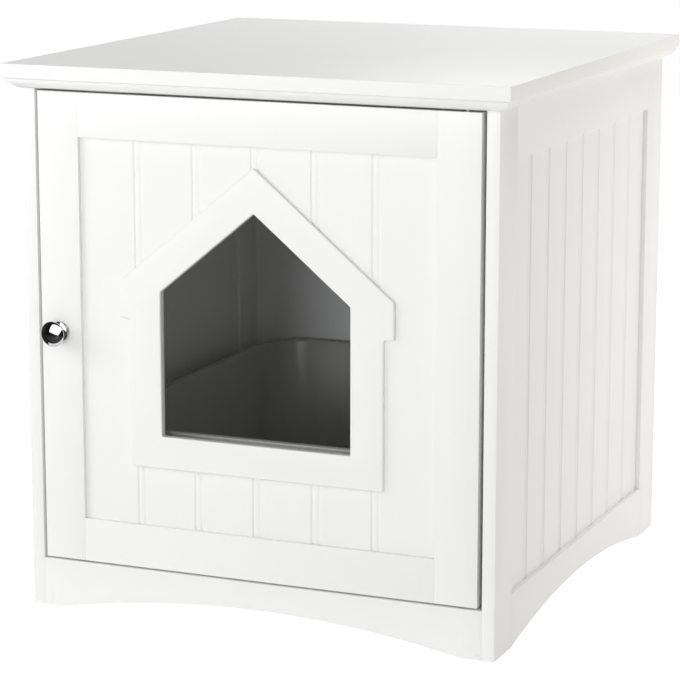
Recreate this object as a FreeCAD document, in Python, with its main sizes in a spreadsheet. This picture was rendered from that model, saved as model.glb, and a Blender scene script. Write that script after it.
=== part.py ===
import FreeCAD, Part
import os
import re

import Sketcher

# A cabinet that hides a cat litter tray: painted frame-and-panel sides, a moulded top
# board and a hinged front door with a house-shaped doorway.
# Millimetres. +Z is up, +X is to the right and the door faces -Y. The origin is on the
# floor, under the middle of the whole object with its knob.

SIZES = {
    # Carcass
    "body_width": 460.0,
    "body_depth": 486.0,
    "total_height": 510.0,
    "side_thickness": 12.0,
    "front_stile": 45.0,
    "rear_stile": 47.5,
    "side_top_rail": 47.2,
    "side_bottom_rail": 50.0,
    "arch_rise": 20.0,
    "arris_radius": 1.0,
    # Panels in their grooves
    "panel_recess": 4.5,
    "panel_thickness": 4.5,
    "tongue": 8.0,
    "tongue_room": 0.5,
    # Double grooves between the boards of a panel
    "side_boards": 8,
    "door_boards": 6,
    "bead_spacing": 6.3,
    "bead_depth": 1.4,
    "bead_flank": 1.0,
    "bead_crown_drop": 0.2,
    # Top board
    "top_thickness": 22.8,
    "fascia_height": 12.8,
    "top_overhang": 14.0,
    "top_rear_overhang": 10.0,
    "fascia_round": 3.0,
    "cove_radius": 18.0,
    "saw_allowance": 5.0,
    # Apron, floor and back
    "apron_height": 45.5,
    "apron_thickness": 12.0,
    "apron_foot": 19.0,
    "floor_thickness": 12.0,
    "back_thickness": 6.0,
    "back_foot": 40.0,
    "rebate_width": 6.0,
    "rebate_room": 0.5,
    "cleat_width": 15.0,
    "cleat_height": 12.0,
    # Door
    "door_thickness": 12.0,
    "door_stile": 40.5,
    "door_rail": 40.5,
    "latch_gap": 3.0,
    "hinge_gap": 4.5,
    "top_gap": 2.0,
    "bottom_gap": 2.0,
    # Doorway and its bezel
    "opening_width": 186.0,
    "opening_lift": 126.0,
    "ridge_room": 18.8,
    "gable_height": 77.0,
    "trim_border": 31.5,
    "trim_sill": 30.0,
    "trim_setback": 0.3,
    "trim_round": 1.5,
    "trim_lining": 6.0,
    "eave_overhang": 10.0,
    "eave_height": 33.5,
    "eave_round": 3.0,
    # Pivots
    "pivot_inset": 15.0,
    "pin_diameter": 4.0,
    "pin_in_door": 15.0,
    "pin_in_bush": 9.0,
    "pin_clearance": 0.1,
    "pin_end_play": 0.3,
    "bush_wall": 1.4,
    "bush_end": 1.7,
    # Knob
    "knob_projection": 22.5,
    "knob_head_radius": 11.7,
    "knob_rim_drop": 6.5,
    "knob_rim_thickness": 1.0,
    "knob_neck_radius": 5.5,
    "knob_neck_start": 4.5,
    "knob_neck_end": 11.0,
    "knob_flange_radius": 9.5,
    "knob_flange_thickness": 2.0,
    "knob_inset": 19.0,
    "knob_drop": 2.3,
    "knob_screw_diameter": 4.0,
    "knob_screw_bite": 8.0,
    "knob_screw_head": 8.0,
    "knob_screw_head_height": 2.6,
    # Wood screws and dowels
    "screw_diameter": 3.5,
    "screw_head": 7.0,
    "screw_head_height": 2.2,
    "screw_slot": 0.9,
    "screw_slot_depth": 1.2,
    "wood_bite": 8.0,
    "dowel_diameter": 6.0,
    "dowel_in_end": 12.0,
    "dowel_in_face": 8.0,
    "back_screw_diameter": 2.5,
    "back_screw_head": 5.0,
    "back_screw_head_height": 1.5,
    # Angle brackets under the top
    "bracket_leg": 20.0,
    "bracket_width": 15.0,
    "bracket_gauge": 1.5,
    "bracket_inset": 100.0,
    # Magnetic catch
    "catch_length": 44.0,
    "catch_depth": 14.0,
    "catch_height": 13.0,
    "catch_inset": 62.0,
    "catch_wall": 2.0,
    "magnet_length": 26.0,
    "magnet_thickness": 5.0,
    "pole_gauge": 1.2,
    "pole_reach": 0.6,
    "catch_air": 0.4,
    "strike_length": 34.0,
    "strike_height": 9.0,
    "strike_gauge": 1.2,
    # Litter tray
    "tray_height": 126.5,
    "tray_wall": 3.0,
    "tray_lip": 5.0,
    "tray_lip_height": 5.0,
    "tray_lip_round": 1.2,
    "tray_taper": 8.0,
    "tray_corner": 55.0,
    "tray_foot_round": 16.0,
    "tray_side_room": 28.0,
    "tray_front_room": 14.0,
    "tray_rear_room": 17.0,
}

# Planes of the object, as formulas of the sizes
FRONT = "((knob_projection - body_depth - top_rear_overhang) / 2)"
REAR = f"({FRONT} + body_depth)"
OUTER = "(body_width / 2)"
INNER = "(body_width / 2 - side_thickness)"
CEILING = "(total_height - top_thickness)"
FASCIA = "(total_height - fascia_height)"
PANEL_OUT = "panel_recess"
PANEL_IN = "(panel_recess + panel_thickness)"
GROOVE = "(tongue + tongue_room)"
SEAM_FRONT = f"({FRONT} + front_stile)"
SEAM_REAR = f"({REAR} - rear_stile)"
FLOOR_FRONT = f"({FRONT} + apron_thickness)"
BACK_FRONT = f"({REAR} - back_thickness)"
FLOOR_UNDER = "(apron_height - floor_thickness)"
CLEAT_UNDER = f"({FLOOR_UNDER} - cleat_height)"

DOOR_LEFT = f"(latch_gap - {INNER})"
DOOR_RIGHT = f"({INNER} - hinge_gap)"
DOOR_MIDDLE = f"(({DOOR_LEFT} + {DOOR_RIGHT}) / 2)"
DOOR_BOTTOM = "(apron_height + bottom_gap)"
DOOR_TOP = f"({CEILING} - top_gap)"
DOOR_BACK = f"({FRONT} + door_thickness)"
PANEL_LEFT = f"({DOOR_LEFT} + door_stile)"
PANEL_RIGHT = f"({DOOR_RIGHT} - door_stile)"
PANEL_BOTTOM = f"({DOOR_BOTTOM} + door_rail)"
PANEL_TOP = f"({DOOR_TOP} - door_rail)"
PIVOT_X = f"({DOOR_RIGHT} - pivot_inset)"
PIVOT_Y = f"({FRONT} + door_thickness / 2)"
KNOB_X = f"({DOOR_LEFT} + knob_inset)"
KNOB_Z = f"(({DOOR_BOTTOM} + {DOOR_TOP}) / 2 - knob_drop)"

SILL = f"({DOOR_BOTTOM} + opening_lift)"
PITCH = "(gable_height / (opening_width / 2))"
RIDGE = f"({PANEL_TOP} - ridge_room)"
APEX = f"({RIDGE} - trim_border * sqrt(1 + {PITCH}^2))"

CATCH_X = f"({DOOR_LEFT} + catch_inset)"
CATCH_FRONT = f"({DOOR_BACK} + strike_gauge + catch_air + pole_reach)"
STRIKE_Z = f"({CEILING} - catch_height / 2)"

TRAY_FRONT = f"({DOOR_BACK} + tray_front_room)"
TRAY_REAR = f"({BACK_FRONT} - tray_rear_room)"
TRAY_WIDTH = f"(2 * {INNER} - 2 * tray_side_room)"
TRAY_DEPTH = f"({TRAY_REAR} - {TRAY_FRONT})"

DOC = FreeCAD.newDocument("litter_cabinet")
NODES = []


# ---------------------------------------------------------------- sheet and formulas

def add_sheet():
    """Put the driving sizes in a sheet, one named cell each."""
    sheet = DOC.addObject("Spreadsheet::Sheet", "sizes")
    for row, (alias, size) in enumerate(SIZES.items(), start=1):
        sheet.set(f"A{row}", alias)
        sheet.set(f"B{row}", str(size))
        sheet.setAlias(f"B{row}", alias)
    DOC.recompute()
    return sheet


SHEET = add_sheet()


def formula(text):
    """Write a formula of size names the way the document reads it."""
    def cell(word):
        return f"sizes.{word.group()}" if word.group() in SIZES else word.group()
    return re.sub(r"[a-z_]+", cell, str(text))


def number(text):
    """The present value of a formula."""
    return float(SHEET.evalExpression(formula(text)))


def bind(item, **formulas):
    """Tie properties of an object to formulas; at_x, at_y and at_z are its place."""
    for name, text in formulas.items():
        path = f"Placement.Base.{name[-1]}" if name.startswith("at_") else name
        item.setExpression(path, formula(text))


def node(item, label):
    """Keep a finished piece under the name of its file."""
    item.Label = label
    NODES.append(item)
    return item


# ---------------------------------------------------------------- sketches and features

def plane_of(body, role):
    return next(part for part in body.Origin.OriginFeatures if part.Role == role)


def corner_point(corner):
    return FreeCAD.Vector(number(corner[0]), number(corner[1]), 0)


def add_edge(sketch, corner, following):
    """Add the edge from a corner to the next one, and say which of its ends is which.

    A corner is (x, y), or (x, y, "convex" or "concave", radius) where an arc starts. The
    outline runs anticlockwise, so a convex arc bulges to the right of the way along it.
    """
    start, end = corner_point(corner), corner_point(following)
    if len(corner) == 2:
        return sketch.addGeometry(Part.LineSegment(start, end), False), 1, 2
    radius, chord = number(corner[3]), end - start
    rise = radius - (radius ** 2 - chord.Length ** 2 / 4) ** 0.5
    right = FreeCAD.Vector(chord.y, -chord.x, 0).normalize()
    bulge = rise if corner[2] == "convex" else -rise
    arc = Part.Arc(start, start + chord * 0.5 + right * bulge, end)
    index = sketch.addGeometry(arc, False)
    sketch.renameConstraint(
        sketch.addConstraint(Sketcher.Constraint("Radius", index, radius)), f"r{index}")
    sketch.setExpression(f"Constraints.r{index}", formula(corner[3]))
    forward = (sketch.getPoint(index, 1) - start).Length < (sketch.getPoint(index, 2) - start).Length
    return (index, 1, 2) if forward else (index, 2, 1)


def add_outline(sketch, corners):
    """Draw one closed outline and tie each of its corners to the sheet."""
    edges = [add_edge(sketch, corner, corners[(n + 1) % len(corners)])
             for n, corner in enumerate(corners)]
    for (index, _, end), (following, start, _) in zip(edges, edges[1:] + edges[:1]):
        sketch.addConstraint(Sketcher.Constraint("Coincident", index, end, following, start))
    for (index, start, _), corner in zip(edges, corners):
        for kind, text in (("DistanceX", corner[0]), ("DistanceY", corner[1])):
            size = Sketcher.Constraint(kind, -1, 1, index, start, number(text))
            name = f"{kind[-1].lower()}{index}"
            sketch.renameConstraint(sketch.addConstraint(size), name)
            sketch.setExpression(f"Constraints.{name}", formula(text))


def add_sketch(body, role, offset, outlines):
    """Draw outlines on one of the body's own planes, moved along that plane's axis."""
    sketch = body.newObject("Sketcher::SketchObject", f"{body.Name}_sketch")
    sketch.AttachmentSupport = (plane_of(body, role), [""])
    sketch.MapMode = "FlatFace"
    sign = "-" if role == "XZ_Plane" else ""
    sketch.setExpression("AttachmentOffset.Base.z", formula(f"{sign}({offset})"))
    for corners in outlines:
        add_outline(sketch, corners)
    return sketch


def add_pad(body, role, start, length, *outlines):
    """Grow outlines from a plane in the positive direction of its axis."""
    pad = body.newObject("PartDesign::Pad", f"{body.Name}_pad")
    pad.Profile = add_sketch(body, role, start, outlines)
    pad.Reversed = role == "XZ_Plane"
    bind(pad, Length=length)
    return pad


def add_pocket(body, role, start, length, *outlines):
    """Cut outlines away from a plane in the positive direction of its axis."""
    DOC.recompute()
    before = body.Shape.Volume
    pocket = body.newObject("PartDesign::Pocket", f"{body.Name}_pocket")
    pocket.Profile = add_sketch(body, role, start, outlines)
    pocket.Reversed = role != "XZ_Plane"
    bind(pocket, Length=length)
    DOC.recompute()
    if not body.Shape.Volume < before:
        raise ValueError(f"a pocket of {body.Name} cuts nothing")
    return pocket


def ease(body, size, pick):
    """Round the edges of a body whose bounding boxes are picked."""
    DOC.recompute()
    tip = body.Tip
    edges = [f"Edge{n}" for n, edge in enumerate(tip.Shape.Edges, start=1) if pick(edge.BoundBox)]
    fillet = body.newObject("PartDesign::Fillet", f"{body.Name}_eased")
    fillet.Base = (tip, edges)
    bind(fillet, Radius=size)


def new_body(name):
    return DOC.addObject("PartDesign::Body", name)


def rectangle(left, bottom, right, top):
    return [(left, bottom), (right, bottom), (right, top), (left, top)]


def same(first, text):
    """Whether a coordinate lies on the plane that a formula gives."""
    return abs(first - number(text)) < 0.01


def arch_radius(span):
    """Radius of an arch that rises by arch_rise over a span."""
    return f"((({span}) / 2)^2 + arch_rise^2) / (2 * arch_rise)"


def box(name, x, y, z, length, width, height):
    """A plain sawn block, from its lowest corner and its three sizes."""
    block = DOC.addObject("Part::Box", name)
    bind(block, at_x=x, at_y=y, at_z=z, Length=length, Width=width, Height=height)
    return block


def rod(name, radius, height, x="0", y="0", z="0"):
    """An upright round bar."""
    bar = DOC.addObject("Part::Cylinder", name)
    bind(bar, Radius=radius, Height=height, at_x=x, at_y=y, at_z=z)
    return bar


def cut(base, tools, name):
    """A piece with the room for other pieces taken out of it."""
    result = DOC.addObject("Part::Cut", name)
    result.Base = base
    result.Tool = tools if not isinstance(tools, list) else group(tools, f"{name}_tools")
    return result


def fuse(pieces, name):
    result = DOC.addObject("Part::MultiFuse", name)
    result.Shapes = pieces
    return result


def group(pieces, name):
    """Separate solids that share one node."""
    result = DOC.addObject("Part::Compound", name)
    result.Links = pieces
    return result


def mirrored(source, name, at="0"):
    """The opposite hand of a piece, across an upright plane at x = at."""
    mirror = DOC.addObject("Part::Mirroring", name)
    mirror.Source = source
    mirror.Normal = (1, 0, 0)
    mirror.setExpression("Base.x", formula(at))
    return mirror


# ---------------------------------------------------------------- screws and dowels

DOWN = FreeCAD.Rotation()
UP = FreeCAD.Rotation(FreeCAD.Vector(1, 0, 0), 180)
LEFTWARD = FreeCAD.Rotation(FreeCAD.Vector(0, 1, 0), 90)
FORWARD = FreeCAD.Rotation(FreeCAD.Vector(1, 0, 0), -90)


def copy_at(source, name, turn, x, y, z):
    """One more of a piece, turned and set at its own place."""
    link = DOC.addObject("App::Link", name)
    link.LinkedObject = source
    link.Placement = FreeCAD.Placement(FreeCAD.Vector(), turn)
    bind(link, at_x=x, at_y=y, at_z=z)
    return link


def make_screw(name, diameter, head, head_height, length):
    """A countersunk screw driven down -Z, with the top of its head at its origin.

    Returns the screw with its cross slot, and the plain solid that its hole is cut with.
    """
    shank = rod(f"{name}_shank", f"{diameter} / 2", length, z=f"-({length})")
    cone = DOC.addObject("Part::Cone", f"{name}_cone")
    bind(cone, Radius1=f"{diameter} / 2", Radius2=f"{head} / 2", Height=head_height,
         at_z=f"-{head_height}")
    solid = fuse([shank, cone], f"{name}_solid")
    arm = f"{head} * 0.6"
    depth = f"{head_height} * 0.6"
    slots = [
        box(f"{name}_slot_a", f"-{arm} / 2", "-screw_slot / 2", f"-{depth}",
            arm, "screw_slot", head_height),
        box(f"{name}_slot_b", "-screw_slot / 2", f"-{arm} / 2", f"-{depth}",
            "screw_slot", arm, head_height),
    ]
    return cut(solid, slots, name), solid


CLEAT_SCREW = make_screw("cleat_screw", "screw_diameter", "screw_head",
                         "screw_head_height", "cleat_width + wood_bite")
FLOOR_SCREW = make_screw("floor_screw", "screw_diameter", "screw_head",
                         "screw_head_height", "cleat_height + wood_bite")
BRACKET_SCREW = make_screw("bracket_screw", "screw_diameter", "screw_head",
                           "screw_head_height", "bracket_gauge + wood_bite")
BACK_SCREW = make_screw("back_screw", "back_screw_diameter", "back_screw_head",
                        "back_screw_head_height", "back_thickness + wood_bite")


def along_depth(share):
    """A place along the floor, as a share of its depth from the front."""
    return f"({FLOOR_FRONT} + ({BACK_FRONT} - {FLOOR_FRONT}) * {share})"


def both_hands(left_pieces, name):
    """The left-hand pieces and their mirror images, in one node."""
    left = group(left_pieces, f"{name}_left")
    return group([left, mirrored(left, f"{name}_right")], name)


def drive(screw, name, places, collect=both_hands):
    """Set one kind of screw at many places (turn, x, y, z): the screws and their holes."""
    return [collect([copy_at(shape, f"{label}_{n}", *place) for n, place in enumerate(places)], label)
            for shape, label in zip(screw, (name, f"{name}_holes"))]


CLEAT_SCREWS, CLEAT_HOLES = drive(CLEAT_SCREW, "cleat_screws", [
    (LEFTWARD, f"cleat_width - {INNER}", along_depth(share), f"{FLOOR_UNDER} - cleat_height / 2")
    for share in (0.2, 0.5, 0.8)])
FLOOR_SCREWS, FLOOR_HOLES = drive(FLOOR_SCREW, "floor_screws", [
    (UP, f"cleat_width / 2 - {INNER}", along_depth(share), CLEAT_UNDER)
    for share in (0.1, 0.35, 0.65, 0.9)])
BACK_SCREWS, BACK_HOLES = drive(BACK_SCREW, "back_panel_screws", [
    (FORWARD, f"-{INNER} - rebate_width / 2", REAR, f"{CEILING} * {share}")
    for share in (0.1, 0.37, 0.63, 0.9)])

DOWEL = rod("dowel", "dowel_diameter / 2", "dowel_in_end + dowel_in_face")
APRON_DOWELS = both_hands(
    [copy_at(DOWEL, f"apron_dowel_{n}", LEFTWARD, f"-{INNER} - dowel_in_face",
             f"{FRONT} + apron_thickness / 2", f"apron_height * {share}")
     for n, share in enumerate((0.25, 0.75))], "apron_dowels")
TOP_DOWELS = both_hands(
    [copy_at(DOWEL, f"top_dowel_{n}", DOWN, f"side_thickness / 2 - {OUTER}", place,
             f"{CEILING} - dowel_in_end")
     for n, place in enumerate((f"{FRONT} + front_stile / 2", f"{SEAM_REAR} + rear_stile / 2"))],
    "top_dowels")


# ---------------------------------------------------------------- angle brackets

def make_brackets():
    """Four steel angle brackets in the corners of the side rails and the top."""
    angles = []
    places = []
    wall = f"(-{INNER})"
    middle = "(bracket_gauge + bracket_leg) / 2"
    for n, along in enumerate((f"{FRONT} + bracket_inset", f"{REAR} - bracket_inset")):
        body = new_body(f"bracket_{n}")
        add_pad(body, "XZ_Plane", f"{along} - bracket_width / 2", "bracket_width", [
            (wall, f"{CEILING} - bracket_leg"),
            (f"{wall} + bracket_gauge", f"{CEILING} - bracket_leg"),
            (f"{wall} + bracket_gauge", f"{CEILING} - bracket_gauge"),
            (f"{wall} + bracket_leg", f"{CEILING} - bracket_gauge"),
            (f"{wall} + bracket_leg", CEILING),
            (wall, CEILING)])
        angles.append(body)
        places.append((LEFTWARD, f"{wall} + bracket_gauge", along, f"{CEILING} - {middle}"))
        places.append((UP, f"{wall} + {middle}", along, f"{CEILING} - bracket_gauge"))
    return both_hands(angles, "bracket_blanks"), *drive(BRACKET_SCREW, "bracket_screws", places)


BRACKET_BLANKS, BRACKET_SCREWS, BRACKET_HOLES = make_brackets()


# ---------------------------------------------------------------- door pivots

BUSH_RADIUS = "(pin_diameter / 2 + pin_clearance + bush_wall)"
BUSH_BORE = "(pin_diameter / 2 + pin_clearance)"
BUSH_DEPTH = "(pin_in_bush + pin_end_play)"


def make_bush(name, turn, z):
    """A nylon cup for one pivot pin; its mouth is flush with the board that holds it."""
    outer = rod(f"{name}_outer", BUSH_RADIUS, f"{BUSH_DEPTH} + bush_end",
                z=f"-{BUSH_DEPTH} - bush_end")
    inner = rod(f"{name}_inner", BUSH_BORE, BUSH_DEPTH, z=f"-{BUSH_DEPTH}")
    cup = cut(outer, inner, f"{name}_cup")
    return (copy_at(cup, name, turn, PIVOT_X, PIVOT_Y, z),
            copy_at(group([outer], f"{name}_hole"), f"{name}_seat", turn, PIVOT_X, PIVOT_Y, z))


LOWER_BUSH, LOWER_SEAT = make_bush("lower_pivot_bush", DOWN, "apron_height")
UPPER_BUSH, UPPER_SEAT = make_bush("upper_pivot_bush", UP, CEILING)
LOWER_PIN = rod("lower_pivot_pin", "pin_diameter / 2", "pin_in_bush + bottom_gap + pin_in_door",
                PIVOT_X, PIVOT_Y, "apron_height - pin_in_bush")
UPPER_PIN = rod("upper_pivot_pin", "pin_diameter / 2", "pin_in_bush + top_gap + pin_in_door",
                PIVOT_X, PIVOT_Y, f"{DOOR_TOP} - pin_in_door")


# ---------------------------------------------------------------- magnetic catch

def make_catch():
    """The catch under the top: housing, magnet between two steel plates, two screws."""
    left = f"({CATCH_X} - catch_length / 2)"
    housing = box("catch_block", left, CATCH_FRONT, f"{CEILING} - catch_height",
                  "catch_length", "catch_depth", "catch_height")
    core = "(magnet_thickness + 2 * pole_gauge)"
    low = f"({STRIKE_Z} - {core} / 2)"
    pocket_depth = "(catch_depth - catch_wall)"
    start = f"({CATCH_X} - magnet_length / 2)"
    magnet = box("catch_magnet", start, CATCH_FRONT, f"{low} + pole_gauge",
                 "magnet_length", pocket_depth, "magnet_thickness")
    plates = [box(f"pole_plate_{n}", start, f"{CATCH_FRONT} - pole_reach", height,
                  "magnet_length", f"{pocket_depth} + pole_reach", "pole_gauge")
              for n, height in enumerate((low, f"{low} + magnet_thickness + pole_gauge"))]
    poles = group(plates, "catch_pole_plates")
    screws, holes = drive(CATCH_SCREW, "catch_screws", [
        (UP, f"{CATCH_X} + {hand} * (catch_length + magnet_length) / 4",
         f"{CATCH_FRONT} + catch_depth / 2", f"{CEILING} - catch_height")
        for hand in (-1, 1)], group)
    return cut(housing, [magnet, poles, holes], "catch_housing"), magnet, poles, screws, holes


CATCH_SCREW = make_screw("catch_screw", "back_screw_diameter", "back_screw_head",
                         "back_screw_head_height", "catch_height + wood_bite")
STRIKE_SCREW = make_screw("strike_screw", "back_screw_diameter", "back_screw_head",
                          "strike_gauge", "strike_gauge + wood_bite")
CATCH_HOUSING, CATCH_MAGNET, CATCH_POLES, CATCH_SCREWS, CATCH_HOLES = make_catch()
STRIKE_SCREWS, STRIKE_HOLES = drive(STRIKE_SCREW, "strike_screws", [
    (FORWARD, f"{CATCH_X} + {hand} * strike_length * 0.4", f"{DOOR_BACK} + strike_gauge", STRIKE_Z)
    for hand in (-1, 1)], group)
STRIKE_PLATE = cut(
    box("strike_blank", f"{CATCH_X} - strike_length / 2", DOOR_BACK,
        f"{STRIKE_Z} - strike_height / 2", "strike_length", "strike_gauge", "strike_height"),
    STRIKE_HOLES, "strike_plate")


# ---------------------------------------------------------------- knob

def make_knob():
    """A turned metal knob on a round foot, and the machine screw that holds it."""
    rim = "(knob_projection - knob_rim_drop)"
    body = new_body("knob_turning")
    dome = "(knob_head_radius^2 + knob_rim_drop^2) / (2 * knob_rim_drop)"
    profile = [
        ("0", "-knob_projection", "convex", dome),
        ("knob_head_radius", f"-{rim}"),
        ("knob_head_radius", f"-({rim} - knob_rim_thickness)", "convex", "knob_head_radius"),
        ("knob_neck_radius", "-knob_neck_end"),
        ("knob_neck_radius", "-knob_neck_start", "concave", "knob_flange_radius / 2"),
        ("knob_flange_radius - knob_flange_thickness / 4", "-knob_flange_thickness",
         "convex", "knob_flange_thickness"),
        ("knob_flange_radius", "0"),
        ("0", "0")]
    turning = body.newObject("PartDesign::Revolution", "knob_revolution")
    turning.Profile = add_sketch(body, "XY_Plane", "0", [profile])
    turning.ReferenceAxis = (plane_of(body, "Y_Axis"), [""])
    turning.Angle = 360
    bind(body, at_x=KNOB_X, at_y=FRONT, at_z=KNOB_Z)
    shank = rod("knob_screw_shank", "knob_screw_diameter / 2", "door_thickness + knob_screw_bite",
                z="-(door_thickness + knob_screw_bite)")
    head = rod("knob_screw_cap", "knob_screw_head / 2", "knob_screw_head_height")
    slots = [
        box("knob_slot_a", "-knob_screw_head * 0.3", "-screw_slot / 2",
            "knob_screw_head_height - screw_slot_depth", "knob_screw_head * 0.6",
            "screw_slot", "screw_slot_depth"),
        box("knob_slot_b", "-screw_slot / 2", "-knob_screw_head * 0.3",
            "knob_screw_head_height - screw_slot_depth", "screw_slot",
            "knob_screw_head * 0.6", "screw_slot_depth")]
    screw = cut(fuse([shank, head], "knob_screw_solid"), slots, "knob_screw_blank")
    placed = copy_at(screw, "knob_screw", FORWARD, KNOB_X, DOOR_BACK, KNOB_Z)
    return cut(body, placed, "door_knob"), placed


KNOB, KNOB_SCREW = make_knob()


# ---------------------------------------------------------------- left side

def side_x(inward):
    """x of a plane that lies some way in from the left outer face."""
    return f"({inward} - {OUTER})"


def make_front_stile():
    """Upright at the front corner, grooved along its rear edge."""
    body = new_body("front_stile_blank")
    out, mid, deep, face = side_x("0"), side_x(PANEL_OUT), side_x(PANEL_IN), side_x("side_thickness")
    rounded = ("convex", "arris_radius")
    add_pad(body, "XY_Plane", "0", CEILING, [
        (f"{out} + arris_radius", FRONT),
        (f"{face} - arris_radius", FRONT, *rounded),
        (face, f"{FRONT} + arris_radius"),
        (face, SEAM_FRONT),
        (deep, SEAM_FRONT),
        (deep, f"{SEAM_FRONT} - {GROOVE}"),
        (mid, f"{SEAM_FRONT} - {GROOVE}"),
        (mid, SEAM_FRONT),
        (f"{out} + arris_radius", SEAM_FRONT, *rounded),
        (out, f"{SEAM_FRONT} - arris_radius"),
        (out, f"{FRONT} + arris_radius", *rounded)])
    return body


def make_rear_stile():
    """Upright at the rear corner, grooved in front and rebated for the back panel."""
    body = new_body("rear_stile_blank")
    out, mid, deep, face = side_x("0"), side_x(PANEL_OUT), side_x(PANEL_IN), side_x("side_thickness")
    rounded = ("convex", "arris_radius")
    add_pad(body, "XY_Plane", "0", CEILING, [
        (f"{out} + arris_radius", SEAM_REAR),
        (mid, SEAM_REAR),
        (mid, f"{SEAM_REAR} + {GROOVE}"),
        (deep, f"{SEAM_REAR} + {GROOVE}"),
        (deep, SEAM_REAR),
        (face, SEAM_REAR),
        (face, BACK_FRONT),
        (f"{face} - rebate_width", BACK_FRONT),
        (f"{face} - rebate_width", REAR),
        (f"{out} + arris_radius", REAR, *rounded),
        (out, f"{REAR} - arris_radius"),
        (out, f"{SEAM_REAR} + arris_radius", *rounded)])
    return body


def side_tongues(body, bottom, top):
    """Stub tenons of a side rail, which sit in the grooves of both stiles."""
    add_pad(body, "YZ_Plane", side_x(PANEL_OUT), "panel_thickness",
            rectangle(f"{SEAM_FRONT} - tongue", bottom, SEAM_FRONT, top),
            rectangle(SEAM_REAR, bottom, f"{SEAM_REAR} + tongue", top))


def side_groove(body, bottom, top):
    """Groove of a side rail for the panel."""
    add_pocket(body, "XZ_Plane", FRONT, "body_depth",
               rectangle(side_x(PANEL_OUT), bottom, side_x(PANEL_IN), top))


def make_bottom_rail():
    """Rail under the panel, with its lower edge cut to an arch."""
    body = new_body("bottom_rail_blank")
    add_pad(body, "YZ_Plane", side_x("0"), "side_thickness", [
        (SEAM_FRONT, "0", "concave", arch_radius(f"{SEAM_REAR} - {SEAM_FRONT}")),
        (SEAM_REAR, "0"), (SEAM_REAR, "side_bottom_rail"), (SEAM_FRONT, "side_bottom_rail")])
    side_tongues(body, "0", "side_bottom_rail")
    side_groove(body, f"side_bottom_rail - {GROOVE}", "side_bottom_rail")
    ease(body, "arris_radius",
         lambda span: same(span.XMin, side_x("0")) and same(span.XMax, side_x("0"))
         and same(span.ZMin, "side_bottom_rail") and same(span.ZMax, "side_bottom_rail"))
    return body


def make_top_rail():
    """Rail over the panel, up to the underside of the top."""
    body = new_body("top_rail_blank")
    low = f"({CEILING} - side_top_rail)"
    add_pad(body, "YZ_Plane", side_x("0"), "side_thickness",
            rectangle(SEAM_FRONT, low, SEAM_REAR, CEILING))
    side_tongues(body, low, CEILING)
    side_groove(body, low, f"{low} + {GROOVE}")
    ease(body, "arris_radius",
         lambda span: same(span.XMin, side_x("0")) and same(span.XMax, side_x("0"))
         and same(span.ZMin, low) and same(span.ZMax, low))
    return body


def bead(middle, face, upright=True):
    """Section of a double groove: two sharp quirks with a rounded bead between them.

    It is cut into a face that looks along -X (upright) or -Y.
    """
    half = "bead_spacing / 2"
    sign = 1 if upright else -1

    def corner(along, deep, *arc):
        along, deep = f"{middle} + {sign} * ({along})", f"{face} + {deep}"
        return (deep, along, *arc) if upright else (along, deep, *arc)

    rise = "(bead_depth - bead_crown_drop)"
    crown = f"(({half})^2 + {rise}^2) / (2 * {rise})"
    return [
        corner(f"-({half} + bead_flank)", "-bead_depth"),
        corner(f"-({half} + bead_flank)", "0"),
        corner(f"-{half}", "bead_depth", "concave", crown),
        corner(half, "bead_depth"),
        corner(f"{half} + bead_flank", "0"),
        corner(f"{half} + bead_flank", "-bead_depth")]


def repeat_beads(body, pocket, axis, pitch, boards):
    """Cut the other double grooves, one between every two boards."""
    pattern = body.newObject("PartDesign::LinearPattern", f"{body.Name}_beads")
    pattern.Originals = [pocket]
    pattern.Direction = (plane_of(body, axis), [""])
    bind(pattern, Length=f"{pitch} * ({boards} - 2)", Occurrences=f"{boards} - 1")
    body.Tip = pattern


def make_side_panel():
    """Thin beaded board of the side, held in the grooves all round."""
    body = new_body("side_panel_blank")
    bottom = "side_bottom_rail - tongue"
    top = f"{CEILING} - side_top_rail + tongue"
    add_pad(body, "YZ_Plane", side_x(PANEL_OUT), "panel_thickness",
            rectangle(f"{SEAM_FRONT} - tongue", bottom, f"{SEAM_REAR} + tongue", top))
    pitch = f"({SEAM_REAR} - {SEAM_FRONT}) / side_boards"
    pocket = add_pocket(body, "XY_Plane", "0", "total_height",
                        bead(f"{SEAM_FRONT} + {pitch}", side_x(PANEL_OUT)))
    repeat_beads(body, pocket, "Y_Axis", pitch, "side_boards")
    return body


def add_sides():
    """Both sides: the left one is built and the right one is its mirror image."""
    hardware = {
        "front_stile": (make_front_stile(), [APRON_DOWELS, TOP_DOWELS]),
        "rear_stile": (make_rear_stile(), [BACK_HOLES, TOP_DOWELS]),
        "top_rail": (make_top_rail(), [BRACKET_HOLES]),
        "bottom_rail": (make_bottom_rail(), [CLEAT_HOLES]),
        "bead_panel": (make_side_panel(), []),
    }
    for name, (blank, fixings) in hardware.items():
        piece = cut(blank, fixings, f"left_{name}") if fixings else blank
        node(piece, f"left_{name}")
        node(mirrored(piece, f"right_{name}"), f"right_{name}")


# ---------------------------------------------------------------- top, back, floor, apron

def moulding(edge, outward):
    """The underside moulding of the top: a long cove, a small round and the fascia.

    Corners run outwards and up from the edge of the cabinet's body.
    """
    def away(distance):
        return f"{edge} + {outward} * ({distance})"
    return [
        (away("0"), CEILING),
        (away("top_overhang - fascia_round"), f"{FASCIA} - fascia_round"),
        (away("top_overhang"), FASCIA),
        (away("top_overhang"), "total_height - arris_radius"),
        (away("top_overhang - arris_radius"), "total_height")]


def with_arcs(corners, arcs):
    """Add arcs to an outline: {corner number: (kind, radius)}."""
    return [corner + arcs.get(n, ()) for n, corner in enumerate(corners)]


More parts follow.
